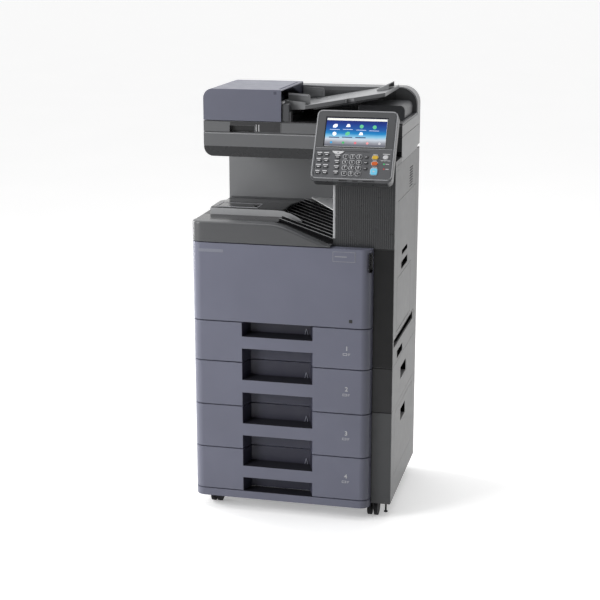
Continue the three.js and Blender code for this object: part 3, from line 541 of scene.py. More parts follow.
def cassette_mark(body, box):
    """The cassette's plain numeral with a small sheet sign under it, printed on its front."""
    x, y, z = box.x1 - 62, box.y0 - 0.1, box.z1 - 67
    mark = Mold(body)
    mark.digits(body[-1], 11.5, 0.3, Matrix.Translation((x, y, z + 15)) @ UPRIGHT, 0.35)
    mark.plate("y", (x - 10, x + 1, z - 3, z + 3), [(x - 8.8, x - 0.2, z - 1.9, z + 1.9)],
               y - 0.1, y + 0.2, 0)
    for k in range(3):
        mark.block((x + 3.2, x + 9.5 - 1.4 * k), at(y, -0.1, 0.2), at(z - 2.2 * k, 1.8, 2.7), 0.1, 1)
    mark.piece(f"{body}_mark", PRINT, FRONT)


def cassette_interior(body, tray):
    """Lift plate, width and length guides, and floor ribs in a cassette."""
    x0, y0, y1, z = tray.x0, tray.y0, tray.y1, tray.z0 + 2.5
    lift = Mold(body).plate("z", (x0 + 150, tray.x1 - 12, y0 + 40, y1 - 40),
                            [(x0 + 170, x0 + 200, y0 + 60, y0 + 110),
                             (x0 + 170, x0 + 200, y1 - 110, y1 - 60)],
                            z + 3, z + 4.6)
    lift.bars("y", (y0 + 44, y1 - 48), 4, (x0 + 152, tray.x1 - 14), at(z, 4.2, 8), 0.8, 2)
    lift.block(at(x0, 152, 158), tray.y(44, -44), at(z, 0.3, 4)).piece(f"{body}_lift_plate", STEEL)
    guides = Mold(body)
    for y, lean in ((y0 + 26, 1), (y1 - 26, -1)):
        guides.block(at(x0, 190, 330), at(y, -1.5, 1.5), at(z, 0.4, 50), 1)
        guides.block(at(x0, 250, 270), at(y, -4, 4), at(z, 50, 55), 1.2)
        for x in steps(x0 + 200, 30, 5):
            guides.prism("x", [(y - lean * 1.4, z + 0.4), (y - lean * 14, z + 0.4), (y - lean * 1.4, z + 34)],
                         x, x + 2)
    guides.block(at(x0, 92, 95), at(tray.cy, -38, 38), at(z, 0.4, 46), 1)
    for y in (tray.cy - 30, tray.cy - 2, tray.cy + 26):
        guides.prism("y", moved([(0.5, 0.4), (-16, 0.4), (0.5, 36)], x0 + 92, z), y, y + 3)
    guides.piece(f"{body}_guides", CAP)
    rails = Mold(body).bars("x", steps(x0 + 20, 14, 9), 1.6, tray.y(20, -20), (z, z + 1.4))
    rails.bars("y", (y0 + 64, y1 - 76), 12, at(x0, 10, 146), (z, z + 2.2), 0.5,
               2).piece(f"{body}_floor_ribs", INNER)


def grip_painted_shade_shells(body, box):
    """Shells inside the finger recesses of a cassette's front, in dark copies of the front's blue-grey as painted
    shade, darkest on the floor of each recess.
    """
    upper, lower, floor, ribs = (Mold(body) for _ in range(4))
    top, ceiling = box.z1 - 0.1, box.z0 - FIT + GRIP_ABOVE
    foot = top + SEAM_GAP - (GRIP_BELOW_TOP if body == "cassette_1" else GRIP_BELOW)
    add_pocket(lower, floor, box.y0, (foot, top), (foot + GRIP_RISE, top))
    add_pocket(upper, None, box.y0, (box.z0 + 0.1, ceiling), (box.z0 + 0.1, ceiling - GRIP_RISE))
    wall = box.y0 + GRIP_DEPTH - 1.4
    for x, lean in ((GRIP_BACK[1] - 8, -3.6), (GRIP_BACK[1] - 16, 3.6)):
        outline = moved([(0, 0.5), (1.6, 0.5), (lean + 1.6, 16), (lean, 16)], x, foot + GRIP_RISE)
        ribs.prism("y", outline, wall - 1.2, wall + 1, 0.3)
    for name, mold, material in (("ribs", ribs, PLATE_TINT), ("upper", upper, GRIP_UPPER_PAINTED_SHADE),
                                 ("lower", lower, GRIP_PAINTED_SHADE), ("floor", floor, GRIP_FLOOR_PAINTED_SHADE)):
        mold.piece(f"{body}_grip_{name}", material)


def add_pocket(mold, floor, face_y, face_z, back_z):
    """Thin skins of one drafted recess; its floor skin, if any, goes in a mold of its own."""
    y0, y1, skin, lip = face_y + 1.0, face_y + GRIP_DEPTH, 0.6, 0.5
    mold.block(GRIP_BACK, (y1 - skin, y1 - 0.02), back_z, 0.1, 1)
    z_low, z_high = (face_z[0] + lip, face_z[1]) if floor else (face_z[0], face_z[1] - lip)
    for x_face, x_back, inward in ((GRIP_X0 + 0.4, GRIP_BACK[0], skin), (GRIP_X1 - 0.4, GRIP_BACK[1], -skin)):
        low = [(x_face, y0, z_low), (x_back, y1, back_z[0]), (x_back + inward, y1, back_z[0]),
               (x_face + inward, y0, z_low)]
        mold.loft([low, [(x, y, z_high if z == z_low else back_z[1]) for x, y, z in low]])
    z_face, z_back, rise = (face_z[0] + 0.2, back_z[0],
                            skin) if floor else (face_z[1] - 0.2, back_z[1], -skin)
    end = [(GRIP_X0 + 0.6, y0, z_face), (GRIP_X1 - 0.6, y0, z_face), (GRIP_BACK[1], y1, z_back),
           (GRIP_BACK[0], y1, z_back)]
    (floor or mold).loft([end, [(x, y, z + rise) for x, y, z in end]])


def front_cover_plates():
    """Plain inlaid plates that carry no marks, and the black slot at the cover's right edge."""
    box, body = Box("front_cover"), "front_cover"
    y, badge = box.y0, (box.x1 - 100, box.x1 - 42, box.z1 - 33, box.z1 - 7)
    for name, spans, material in (("left", (box.x0 + 22, box.x0 + 88, box.z1 - 24, box.z1 - 16), PLATE_TINT),
                                  ("right", badge, BLUE),
                                  ("corner",
                                   (box.x1 - 57, box.x1 - 48, box.z0 + 14, box.z0 + 23), SATIN_BLACK)):
        plate = Mold(body).prism("y", rounded(*spans, 1.6, 3), y - 0.35, y + 0.6, 0.2)
        plate.piece(f"front_cover_{name}_plate", material, FRONT)
    rim = Mold(body).plate("y", badge, [inset(badge, 0.9)], y - 0.5, y + 0.2, 0.15)
    rim.block(at(badge[0], 5, 36), at(y, -0.5, 0.2), at(badge[2], 12, 14.5), 0.2)
    rim.piece("front_cover_plate_rim", SOFT_PRINT, FRONT)
    slot, wide, deep = Mold(body), at(box.x1, -7.9, -1.2), box.y(3, -7)
    slot.block(at(box.x1, -7.9, -6.6), deep, (659, 704), 0.3).bars("z", (657.1, 705.3), 0.6,
                                                                   wide, deep, 0.1, 2)
    slot.block(wide, at(box.y1, -6.7, -6.1), (658, 705), 0.1).piece("front_cover_slot_floor", SATIN_BLACK)


def front_cover_inside():
    """Stiffening ribs, two latch hooks and a plain guide card on the inside of the front cover."""
    box, body = Box("front_cover"), "front_cover"
    (x0, x1), (y0, y1) = box.x(28, -28), at(box.y0, 3.6, 16)
    across, up = (x1 - x0) / 7, (box.z1 - box.z0) / 4
    ribs = Mold(body).bars("x", steps(x0 + across / 2 - 1, across, 7), 2, (y0, y1), box.z(6, -6))
    ribs.bars("z", steps(box.z0 + up - 1, up, 3), 2, (x0, x1), (y0, y1 - 2)).piece("front_cover_ribs", BLUE)
    card = Mold(body).prism("y", rounded(*at(box.cx, -70, 70), *at(box.cz, -34, 34), 3, 3),
                            y1 + 0.2, y1 + 1.2, 0.2)
    card.piece("front_cover_guide_card", PALE)
    drawing = Mold(body)
    for k, x in enumerate(steps(box.cx - 46, 46, 3)):
        window = (x - 17, x + 17, box.cz - 20, box.cz + 20)
        drawing.plate("y", window, [inset(window, 1)], y1 + 1.1, y1 + 1.5, 0)
        drawing.block(at(x, -10, 10), at(y1, 1.1, 1.5), at(box.cz + 5 * k, -9, -5), 0.2)
    drawing.piece("front_cover_guide_frames", CAP, KEYS)
    hooks = Mold(body)
    for deep, top in (((y0, box.y1 - 4), -10), (at(box.y1, -7, -4), -7.5)):
        hooks.bars("x", (x0 + 14, x1 - 26), 12, deep, at(box.z1, -14, top), 0.8, 2)
    hooks.piece("front_cover_latches", BLACK)


def upper_front_panel():
    """The grey panel over the front cover, with a rolled top edge that falls away to the right."""
    box, radius, roll = Box("upper_front_panel"), 27, 6.5
    x0, x1, y0, y1, z0, z1 = box.x0, box.x1, box.y0, box.y1, box.z0, box.z1

    def top(x):
        if x <= x0 + 204:
            return z1
        if x <= x0 + 264:
            return z1 - 13 * ((x - x0 - 204) / 60) ** 2
        return max(z0 + 3.2, z1 - 13 - (z1 - 13 - z0 - 2) * (x - x0 - 264) / 97)

    plan = [(x0, y1), *arc(x0 + radius, y0 + radius, radius, 180, 270, 8)]
    plan += [(x0 + radius + (x1 - x0 - radius) * k / 40, y0) for k in range(1, 41)]
    rings = []
    for i, p in enumerate(plan):
        along = (Vector(plan[min(i + 1, len(plan) - 1)]) - Vector(plan[max(i - 1, 0)])).normalized()
        height = top(p[0])
        turn = min(roll, (height - z0) * 0.6)
        section = [(0, z0), *arc(turn, height - turn, turn, 180, 90, 6)]
        points = [(Vector(p) + depth * Vector((-along.y, along.x)), z) for depth, z in section]
        back = max(p[0], x0 + 9)
        rings.append([(q.x, min(q.y, y1), z) for q, z in points] + [(back, y1, height), (back, y1, z0)])
    Mold().loft(rings, weld=0.01).piece("upper_front_panel_skin", GREY, replaces=["upper_front_panel"])


def skirt_details():
    """Ribs under the skirt, and the shelf that closes the recess under the lowest cassette, painted dark as shade.
    """
    box, level, wide = Box("base_skirt"), Box("cassette_4_front").z0 - 2.2, (GRIP_X0 - 6, GRIP_X1 + 6)
    Mold().bars("x", steps(box.x0 + 40, 33, 12), 2, box.y(4, -2), at(box.z0, 1, 14)).piece("skirt_ribs", BLUE)
    shelf = Mold().block(wide, at(box.y0, 29, 43), at(level, -2, 0), 0.4)
    shelf.block(wide, at(box.y0, 41, 43), at(level, -14, 0), 0.4).piece("skirt_shelf", GRIP_FLOOR_PAINTED_SHADE)
    # A thin dark sheet on the recess floor: painted shade.
    shade_sheet = Mold().block((GRIP_X0 + 1, GRIP_X1 - 1), at(box.y0, 1.2, 29.8), at(level, -0.4, 0.5), 0.2)
    shade_sheet.piece("skirt_shelf_shade_sheet", GRIP_FLOOR_PAINTED_SHADE)


# ---- pillar, posts and output tray -----------------------------------------------------------------

POST_FACE = -167.5  # the face of the set-back post


def pillar_details():
    """Fine upright flutes over the pillar's face, its pale left edge and a small plain ring."""
    box, pitch = Box("front_pillar"), 5.4
    y, x, z = box.y0, box.x0 + 48, box.z0 + 37.5
    flutes = steps(box.x0 + 9.5, pitch, math.ceil((box.x1 - box.x0 - 13.5) / pitch))
    Mold().bars("x", flutes, 3.4, at(y, -0.9, 0.2), box.z(1.5, -1), 0.7, 2).piece("pillar_flutes", FLUTE)
    Mold().block(at(box.x0, -0.2, 6.4), at(y, -0.8, 30), box.z(22.2, -0.2), 1.4, 3).piece("pillar_edge", TRIM)
    ring = Mold().ring("y", circle(x, z, 6.2), circle(x, z, 4.6), y - 1.1, y)
    ring.lathe("y", [(-1.0, 2.0), (0.4, 2.0)], (x, y, z), 16).piece("pillar_reader_ring", CAP, UPPER)


def post_shade_skins():
    """Satin faces over the set-back post beside the fronts, one to each unit, in tones of one dark plastic that
    darken towards the top as painted shade.
    """
    for unit, material in (("cabinet", POST_SHADE_LOW), ("feeder", POST_SHADE_MID), ("main", POST_SHADE_TOP)):
        box = Box(f"{unit}_frame")
        top = Box("front_pillar").z0 - 1.2 if unit == "main" else box.z1
        skin = Mold().block((Box("front_cover").x1 + 0.6, Box("cabinet_frame").x1), at(POST_FACE, -1.2, 0.1),
                            (box.z0 + 1.6, top - 1.4))
        skin.piece(f"{unit}_post_skin", material)


def output_tray_details():
    """Near-white caps on the ramp's ribs as painted highlights, the moulded tier with its shallow well, and the
    exit flap.
    """
    box, front = Box("output_tray"), Box("upper_front_panel")
    ledge, y0, wall, caps = box.z1 - 21, -105 + ROW_Y, Box("rear_column").y0 - 1.6, Mold()
    # Caps along each rib's crest, near white as painted highlights.
    for y in steps(-158 + ROW_Y, 32, 10):
        if y <= box.y1 - 6:
            last = 104 if y < -140 else 179
            crest = [(-42, ledge + 10.2), (0, ledge - 3.8), (last, 730.3 - (last - 100) * 0.319)]
            caps.prism("y", crest + moved(reversed(crest), 0, -1.6), y + 0.3, y + 2.8)
    caps.piece("output_tray_rib_highlights", RIB_HIGHLIGHT)
    tier = [(-3, 0.2), (4.5, 21.2), (90, 22.2), (245, 4), (245, 0.2)]
    Mold().prism("x", moved(tier, y0, ledge), -242, -43, 2.6, 3).piece("output_tray_tier", TIER)
    fascia = [(-241.6, 0.4), (-30, 0.4), (8, -8), (0, 1), (-22, 12), (-44, 18), (-60, 19.4), (-241.6, 19.4)]
    fascia = Mold().prism("y", moved(fascia, 0, ledge), y0 - 2.2, y0 + 1.2, 0.9)
    fascia.piece("output_tray_tier_front", TIER_FRONT)
    well = (-228, -116, y0 + 10, y0 + 68)
    rim = Mold().plate("z", well, [inset(well, 2)], ledge + 20.6, ledge + 22.3, 0.3)
    rim.piece("output_tray_well_rim", SOFT_PRINT)
    window = Mold().lathe("z", [(0, 7), (1.2, 7), (1.6, 6.2), (1.7, 3)], (-128, y0 + 38, ledge + 21.4), 24)
    window.piece("output_tray_sensor_window", SATIN_BLACK)
    flap = Mold().prism("z", [(-27, wall), (90, wall), (90, -30), (86, -28)], 775, 778, 1)
    flap.piece("output_exit_flap", EXIT_FLAP)
    skin = Mold().block((front.x0 + 5, -40), (front.y1 + 0.6, y0 - 4), at(ledge, -0.2, 3.4), 1.2)
    skin.piece("output_tray_ledge", TIER)


def output_bay_details():
    """A lead-in lip and louvre strip on the column behind the bay, and the exit's sensor levers."""
    box = Box("rear_column")
    strip = Mold().block((box.x0 + 6, 104), at(box.y0, -1.4, 0.2), at(box.z0, 2, 7), 0.6)
    strip.bars("x", steps(8, 5, 18), 2.2, at(box.y0, -1.2, 0.2),
               at(box.z1, -16, -5)).piece("rear_column_strip", GREY)
    levers = Mold()
    for y in (20, -60):
        levers.prism("y", [(96, 770), (104, 770), (104, 782), (100, 784), (92, 764)], y, y + 6, 0.8)
    levers.piece("exit_levers", BLACK)


# ---- operation panel -------------------------------------------------------------------------------

def panel_matrix():
    """From the panel's own frame (X across, Y up its face, Z out of it) to the machine, in millimetres."""
    press = next(j for j in frame["joints"] if j["name"] == "start_key_press")
    inward, across, box = Vector(press["axis"]).normalized(), Vector((1, 0, 0)), Box("panel_housing")
    up = across.cross(inward)
    up = up if up.z > 0 else -up
    return (Matrix.Translation((box.cx, box.y0, box.z0 + 26 * abs(inward.z)))
            @ Matrix((across, up, -inward)).transposed().to_4x4())


PANEL = panel_matrix()
PANEL_HALF, PANEL_H = 102.5, 190.4
SCREEN_LAYER = (-0.9, -0.55)
PAD_X, PAD_Y = (-18, -1, 16), (67, 52, 37, 22)  # the number pad's columns and rows
NUMERALS = ["123", "456", "789", " 0 "]
SIDE_KEYS = [(-85, 13, (70, 54, 38, 22)), (-67, 13, (70, 54, 38, 22)), (-39, 12, (64, 50, 36, 22))]
SINGLE_KEYS = [  # name, x, y, width, height, corner radius, material, width and height of the collar
    ("stop_key", 56, 66, 15.4, 9.6, 4.6, YELLOW, 17.8, 11.8),
    ("reset_key", 56, 50, 15.4, 9.6, 4.6, ORANGE, 17.8, 11.8),
    ("start_key", 56, 29, 17.0, 17.0, 4.6, START_GLOW, 19.6, 19.6),
    ("power_key", 82, 67, 12.0, 9.4, 4.5, KEY_WHITE, 14.6, 12)]


def on_panel(body="operation_panel"):
    return Mold(body, PANEL)


def pad(x, y, width, height, radius, count=5):
    """A rounded outline round a centre."""
    return rounded(x - width / 2, x + width / 2, y - height / 2, y + height / 2, radius, count)


def panel_frame():
    """Face plates, the pale rim round the panel's edge, the seam between screen and keys, and lower ports."""
    half, top = PANEL_HALF, PANEL_H
    bezel = on_panel().plate("z", (5 - half, half - 5, 90.4, top - 5),
                             [(-79.2, 79.2, 91.8, 172.2)], 0, 0.9, 0.5)
    bezel.piece("panel_screen_bezel", BEZEL)
    wells = [(49, 63, 61.5, 70.5), (49, 63, 45.5, 54.5), (48, 64, 21, 37), (76, 88, 62, 72),
             (-95.4, 41.4, 11.6, 81.4)]
    on_panel().plate("z", (5 - half, half - 5, 9.4, 88.6), wells, 0, 0.7).piece("panel_key_plate", KEY_PLATE)
    rim = on_panel().ring("z", rounded(0.6 - half, half - 0.6, 7.2, top - 0.6, 13.4, 8),
                          rounded(3.4 - half, half - 3.4, 10.2, top - 3.4, 10.8, 8), 0, 0.7)
    rim.block((6 - half, half - 6), (87.9, 89.1), (0.4, 1.0), 0.2).piece("panel_rim", RIM)
    shell = on_panel().ring("z", rounded(-half, half, 0, top, 15, 8),
                            rounded(2.2 - half, half - 2.2, 2.2, top - 2.2, 12.8, 8), -8.5, -6.8)
    shell.piece("panel_parting_line", TRIM, PANELS)
    ports = on_panel()
    for x, width in ((-30, 22), (4, 14), (30, 30)):
        ports.block((x, x + width), (2.2, 4.4), (-0.5, 0.3), 0.2)
    ports.piece("panel_ports", SATIN_BLACK, PANELS)
    back = on_panel().block((-84, 84), (18, 168), (-26.6, -25.4), 0.4)
    back.bars("y", steps(34, 4.2, 11), 2, (-70, 70), (-27.2, -26.2), 0.3)
    for x, y in ((-92, 12), (-92, 178), (92, 12), (92, 178)):
        back.lathe("z", [(-0.9, 1.5), (-0.7, 2.9), (0.5, 3.2)], (x, y, -26), 14)
    back.piece("panel_back_cover", BEZEL)


def screen_icon(mold, kind, x, y):
    """A generic pictogram about 12 mm across: a stack of sheets, a globe or a slanted card."""
    shapes = {"stack": [(rounded(x - 5.4, x + 3, y - 4.6, y + 2.6, 1, 2), -0.4),
                        (rounded(x - 2.4, x + 5.8, y - 2.2, y + 5, 1, 2), -0.25)],
              "globe": [(circle(x, y, 5, 20), -0.35)],
              "slant": [(moved([(-5.5, -3), (5.5, -3), (4, 4), (-2, 5)], x, y), -0.35)]}
    for outline, top in shapes[kind]:
        mold.prism("z", outline, -0.9, top)


def touch_screen_image():
    """What the lit screen shows, as thin layers: bars, pictograms and plain caption strokes."""
    rows = [[("stack", -54, 148, "white"), ("slant", -21, 149, "white"), ("globe", 13, 148, "green"),
             ("globe", 46, 147, "green")],
            [("globe", -54, 127, "white"), ("stack", -21, 128, "green"), ("slant", 13, 128, "white")]]
    for name, ys, material in (("title_bar", (163.2, 169), lit("screen_white", (232, 232, 226), 0.5)),
                               ("status_bar", (94.6, 99.6), lit("screen_grey", (104, 106, 116), 0.4))):
        on_panel().block((-76, 76), ys, SCREEN_LAYER, 0.1, 1).piece(f"screen_{name}", material)
    for ink, levels, glow in (("white", (236, 238, 246), 0.7), ("green", (96, 190, 140), 0.5)):
        icons = on_panel()
        for kind, x, y, colour in rows[0] + rows[1]:
            if colour == ink:
                screen_icon(icons, kind, x, y)
        icons.piece(f"screen_icons_{ink}", lit(f"screen_icon_{ink}", levels, glow))
    for row, tone, levels, glow, right, ys in ((rows[0], "pale", (190, 205, 236), 0.5, 12, (-10.2, -8.8)),
                                               (rows[1], "dark", (58, 66, 110), 0.3, 13, (-10.6, -8.2))):
        captions = on_panel()
        for _, x, y, _ in row:
            captions.block(at(x, -13, right), at(y, *ys), (-0.9, -0.6), 0.1, 1)
        captions.piece(f"screen_captions_{tone}", lit(f"screen_caption_{tone}", levels, glow))
    for k, levels in enumerate(((60, 150, 200), (70, 170, 100), (214, 110, 120), (226, 150, 150),
                                (190, 190, 196))):
        badge = on_panel().prism("z", circle(-60 + 30.5 * k, 104, 3.2, 18), *SCREEN_LAYER)
        badge.piece(f"screen_badge_{k}", lit(f"screen_badge_{k}", levels, 0.5))
    gasket = (-79.4, 79.4, 91.6, 172.4)
    gasket = on_panel().plate("z", gasket, [inset(gasket, 2.6)], -0.6, 0.3, 0.3)
    gasket.piece("screen_gasket", SATIN_BLACK, PANELS)
    edge = on_panel().block((-77, 77.6), (92.9, 93.9), (-0.4, 0.5), 0.2)
    edge.block((76.9, 77.8), (93, 170), (-0.4, 0.5), 0.2).piece("screen_lower_edge", TRIM, PANELS)


def key_caps():
    """Domed caps over the key mat, with plain numerals on the number pad and strokes on the others."""
    caps, numerals, strokes, rings = (on_panel() for _ in range(4))
    for y, row in zip(PAD_Y, NUMERALS):
        for x, numeral in zip(PAD_X, row):
            caps.prism("z", pad(x, y, 11.6, 8.8, 3.6), 1.55, 2.5, 0.6)
            rings.ring("z", pad(x, y, 14.6, 11.8, 5.1), pad(x, y, 12.2, 9.4, 3.9), 0.3, 1.4)
            if numeral != " ":
                numerals.digits(numeral, 5.6, 0.2, Matrix.Translation((x, y, 2.55)), 0.18)
                continue
            for wide, tall in ((2, 0.5), (0.5, 2)):
                strokes.block(at(x, -wide, wide), at(y, -tall, tall), (2.4, 2.65), 0.1, 1)
    for y in PAD_Y[:3]:
        caps.prism("z", pad(33, y, 9.6, 6.8, 3), 1.55, 2.4, 0.6)
        strokes.block((30.4, 35.6), at(y, -0.7, 0.7), (2.3, 2.6), 0.1, 1)
    for x, width, ys in SIDE_KEYS:
        for k, y in enumerate(ys):
            caps.prism("z", pad(x, y, width - 0.4, 5.8, 2.4, 4), 1.55, 2.3, 0.5)
            strokes.block((x - 6.4, x + 5.6 - k % 2), at(y, 4.2, 6.8), (0.05, 0.6), 0.1, 1)
            strokes.block(at(x, -3.4, 3.4), at(y, -0.9, 0.9), (2.2, 2.5), 0.1, 1)
    for mold, name, material in ((caps, "caps", CAP), (rings, "rings", KEY_RING),
                                 (numerals, "numerals", PRINT), (strokes, "strokes", PRINT)):
        mold.piece(f"key_{name}", material, KEYS)
    tab = [(-54, 80.6), (-52, 77.6), (-46.5, 73.4), (-38.6, 71.6), (-30.5, 73.4), (-25, 77.6), (-23, 80.6)]
    on_panel().prism("z", tab, 0, 1.4, 0.4).piece("home_key_tab", KEY_WHITE)
    on_panel().prism("z", circle(-38.6, 76.4, 1.5, 14), 1.2, 1.7).piece("home_key_mark", KEY_PLATE, KEYS)


def single_key_tops():
    """Crowned tops on the four separate keys, and the lamps beside them."""
    collars, text = on_panel(), on_panel()
    for name, x, y, width, height, radius, material, wide, tall in SINGLE_KEYS:
        on_panel(name).prism("z", pad(x, y, width, height, radius, 6), 2.1, 3.4, 1.0,
                             3).piece(f"{name}_top", material)
        collars.ring("z", pad(x, y, wide, tall, 5.4, 6), pad(x, y, wide - 1.8, tall - 1.8, 4.5, 6), 0.6, 1.2)
    mark = on_panel("start_key").prism("z", [(53.4, 26.4), (59.4, 29), (53.4, 31.6)], 3.3, 3.55)
    mark.piece("start_key_mark", KEY_WHITE)
    collars.piece("key_collars", KEY_RING, PANELS)
    for name, x, y, material in (("ready", 79, 50, GREEN_LED), ("attention", 80, 37, RED_LED)):
        on_panel().prism("z", circle(x, y, 1.6, 14), 0.5, 1.2).piece(f"{name}_lamp", material)
    for x0, x1, y in ((50, 61, 73), (50, 60, 57), (50, 62, 40.4), (74, 92, 75.4),
                      (83, 92, 49.2), (84, 92, 36.2), (70, 94, 58.2)):
        text.block((x0, x1), (y, y + 1.6), (0.6, 0.85), 0.1, 1)
    text.piece("panel_strokes", PRINT, PANELS)


def panel_bracket_details():
    """The barrel the panel tilts on, and ribs on its bracket."""
    box = Box("panel_bracket")
    barrel = Mold().roller("x", *box.x(-6, 6), 8, 1, 0.6, (0, box.y0 + 10, box.z1 - 18), 28)
    barrel.piece("panel_hinge_barrel", BLACK)
    ribs = Mold().bars("x", steps(box.x0 + 14, 23, 5), 2, box.y(24, -1), at(box.z1, -0.2, 2.4), 0.6, 2)
    ribs.piece("panel_bracket_ribs", BLACK)


# ---- scanner and document processor ----------------------------------------------------------------

PROCESSOR = "document_processor"
WELL_FLOOR = 1013.8  # the eject well's floor
FEED_DECK = 1058  # the deck under the blue cover


def scanner_details():
    """The bezel round the platen, its scales, the narrow reading strip, a pale line on the front as a painted
    highlight and a dark band on the lower lip as painted shade.
    """
    box, pane = Box("scanner_housing"), Box("platen_glass")
    top, ticks, rails = box.z1, Mold(), Mold()
    bezel = Mold().plate("z", (*pane.x(-9, 4), *pane.y(-9, 3)), [(*pane.x(1, -1), *pane.y(1, -1))],
                         top - 0.2, top + 0.7, 0.25)
    bezel.piece("platen_scale_frame", PALE)
    for k, x in enumerate(steps(pane.x0 + 4, 10, 35)):
        ticks.block((x, x + 0.7), at(pane.y1, 0.9, 2.6 if k % 5 else 1.6), at(top, 0.6, 0.85), 0)
    for k, y in enumerate(steps(pane.y0 + 6, 10, 21)):
        ticks.block(at(pane.x0, -7.4, -5.4 if k % 5 else -3.6), (y, y + 0.7), at(top, 0.6, 0.85), 0)
    ticks.prism("z", moved([(-8, 2.4), (-3, 2.4), (-8, -2.6)], pane.x0, pane.y1), top + 0.6, top + 0.9)
    ticks.piece("platen_scale_ticks", SATIN_BLACK)
    strip = Mold().block(at(pane.x0, -34, -14), pane.y(2, -2), at(top, -0.2, 0.35), 0.1)
    strip.piece("reading_strip_glass", SATIN_BLACK)
    guides = Mold().bars("x", (pane.x0 - 37, pane.x0 - 13.4), 2.4, pane.y(1, -1), at(top, -0.2, 0.8), 0.3, 2)
    guides.piece("reading_strip_guides", STEEL)
    # A pale strip along the front under the top edge: a painted highlight line.
    line = Mold().block((box.x0 + 3, 104), at(box.y0, -0.15, 1), at(top, -3.6, -2.6), 0.3)
    line.piece("scanner_painted_highlight_line", TRIM)
    # A dark band over the foot of the front lip: painted shade.
    lip = rounded(*box.x(0.5, -0.5), *at(box.z0, 0.4, 27), (25, 2, 0.5, 0.5), 8)
    Mold().prism("y", lip, *at(box.y0, -0.5, 1.5), 0.4).piece("scanner_lower_lip_shade_band", LIP_PAINTED_SHADE)
    for y in (pane.y0 + 18, pane.y1 - 26):
        rails.rod((box.x0 + 34, y, top - 42), (box.x0 + 430, y, top - 42), 2.4)
    rails.piece("carriage_rails", BRIGHT)


def carriage_details():
    """The lamp bars and the mirror on the scan carriage."""
    box, body = Box("scan_carriage"), "scan_carriage"
    lamp = Mold(body).block(at(box.x0, 6, 9), box.y(6, -6), at(box.z1, -0.4, 0.5), 0.3)
    lamp.block(at(box.x0, 26, 29), box.y(6, -6), at(box.z1, -3.2, -2.4), 0.3).piece("scan_lamp", WHITE_PAD)
    mirror = Mold(body).block(at(box.x0, 14, 22), box.y(10, -10), at(box.z1, -0.3, 0.2), 0.1)
    mirror.piece("scan_mirror", BRIGHT)


def processor_base_details():
    """Front edge: handle recess, inlay, two small tabs in pale trim as painted highlights, and seams. Rear: the
    tall housing's rim and the eject well.
    """
    box, cover = Box("processor_base"), Box("processor_cover")
    y, z, rear = box.y0, box.z0, box.y1 - 50
    recess = Mold(PROCESSOR).block((-189, -124), at(y, 15.3, 16.2), at(z, 0.5, 16.5), 0.2)
    recess.piece("processor_handle_back", BLACK)
    band = Mold(PROCESSOR).block((-189, -54), at(y, -0.3, 0.6), at(z, 17.6, 26.6), 0.4)
    band.block((-122, -54), at(y, -0.3, 0.6), at(z, 1.2, 17.8), 0.4).piece("processor_front_inlay", INLAY)
    # Two small ribs beside the handle recess, pale as painted highlights on their edges.
    tab_highlights = Mold(PROCESSOR).bars("x", (-119.5, -112.5), 2.6, at(y, -1.1, 1), at(z, 3, 21), 0.7, 2)
    tab_highlights.piece("processor_front_tab_highlights", TRIM)
    seams = Mold(PROCESSOR).block((-52.4, -51.6), at(y, -0.2, 0.4), (z + 0.8, 1013.4), 0.05, 1)
    seams.block(box.x(2, -2), at(y, -0.1, 0.4), (1012.4, 1013.2), 0.05, 1)
    seams.piece("processor_front_seams", SATIN_BLACK)
    outer = rounded(*box.x(4, -0.4), 1012, box.z1 - 0.2, (0, 0, 45, 8), 8)
    inner = [(u + (2.4 if u < 0 else -2.4 if u > 210 else 0), v - (2.4 if v > 1030 else 0)) for u, v in outer]
    Mold(PROCESSOR).ring("y", outer, inner, rear - 0.9, rear + 0.4).piece("processor_rear_rim", TRIM)
    face = Mold(PROCESSOR).plate("y", (-46, 205, 1016, box.z1 - 12), [], rear - 0.4, rear + 0.2, 0.2)
    face.bars("x", steps(-40, 9.3, 26), 1.6, (rear - 1.0, rear), (1018, box.z1 - 14))
    face.piece("processor_rear_face", GREY)
    bed = Mold(PROCESSOR).bars("x", steps(-10, 26, 6), 1.6, box.y(8, -56), (WELL_FLOOR, 1016), 0.5, 2)
    bed.plate("z", (-24, 128, *box.y(4, -52)), [], 1013.7, 1014.4, 0.3).piece("eject_tray_ribs", INLAY)
    slope = rounded(129, 252, WELL_FLOOR, 1053.2, (0, 0, 13, 5), 6)
    Mold(PROCESSOR).prism("y", slope, 34.6, 166.4, 1.4).piece("eject_stop", SLATE)
    curb = Mold(PROCESSOR).block((254, 263.6), (y + 6, rear - 3), (WELL_FLOOR, 1020), 1.6)
    curb.block((132, 254), at(y, 4, 30), (WELL_FLOOR, 1018), 1.4).piece("processor_right_curb", SLATE)
    guide = Mold(PROCESSOR).block(at(cover.x1, 4, 30), at(box.y1, -64, -51.4), (1016, 1078), 2)
    guide.piece("processor_guide_block", BLACK)


def processor_cover_details():
    """The serrated air strip along the blue cover's right edge, its latch and the ribs under it."""
    box, body = Box("processor_cover"), "processor_cover"
    strip = Mold(body).bars("y", steps(box.y0 + 22, 6.6, 30), 2.6, at(box.x1, -12, -5), at(box.z1, -0.4, 0.5))
    strip.piece("processor_cover_serrations", BLUE_DARK)
    latch = Mold(body).block(at(box.x1, -20, -12), at(box.y0, -0.3, 2), at(box.z1, -12, -4), 0.6)
    latch.piece("processor_cover_latch", BLUE_DARK)
    ribs = Mold(body).bars("x", steps(box.x0 + 36, 20, 8), 1.6, box.y(4, -4), at(box.z1, -11, -3.2))
    ribs.piece("processor_cover_ribs", BLUE)


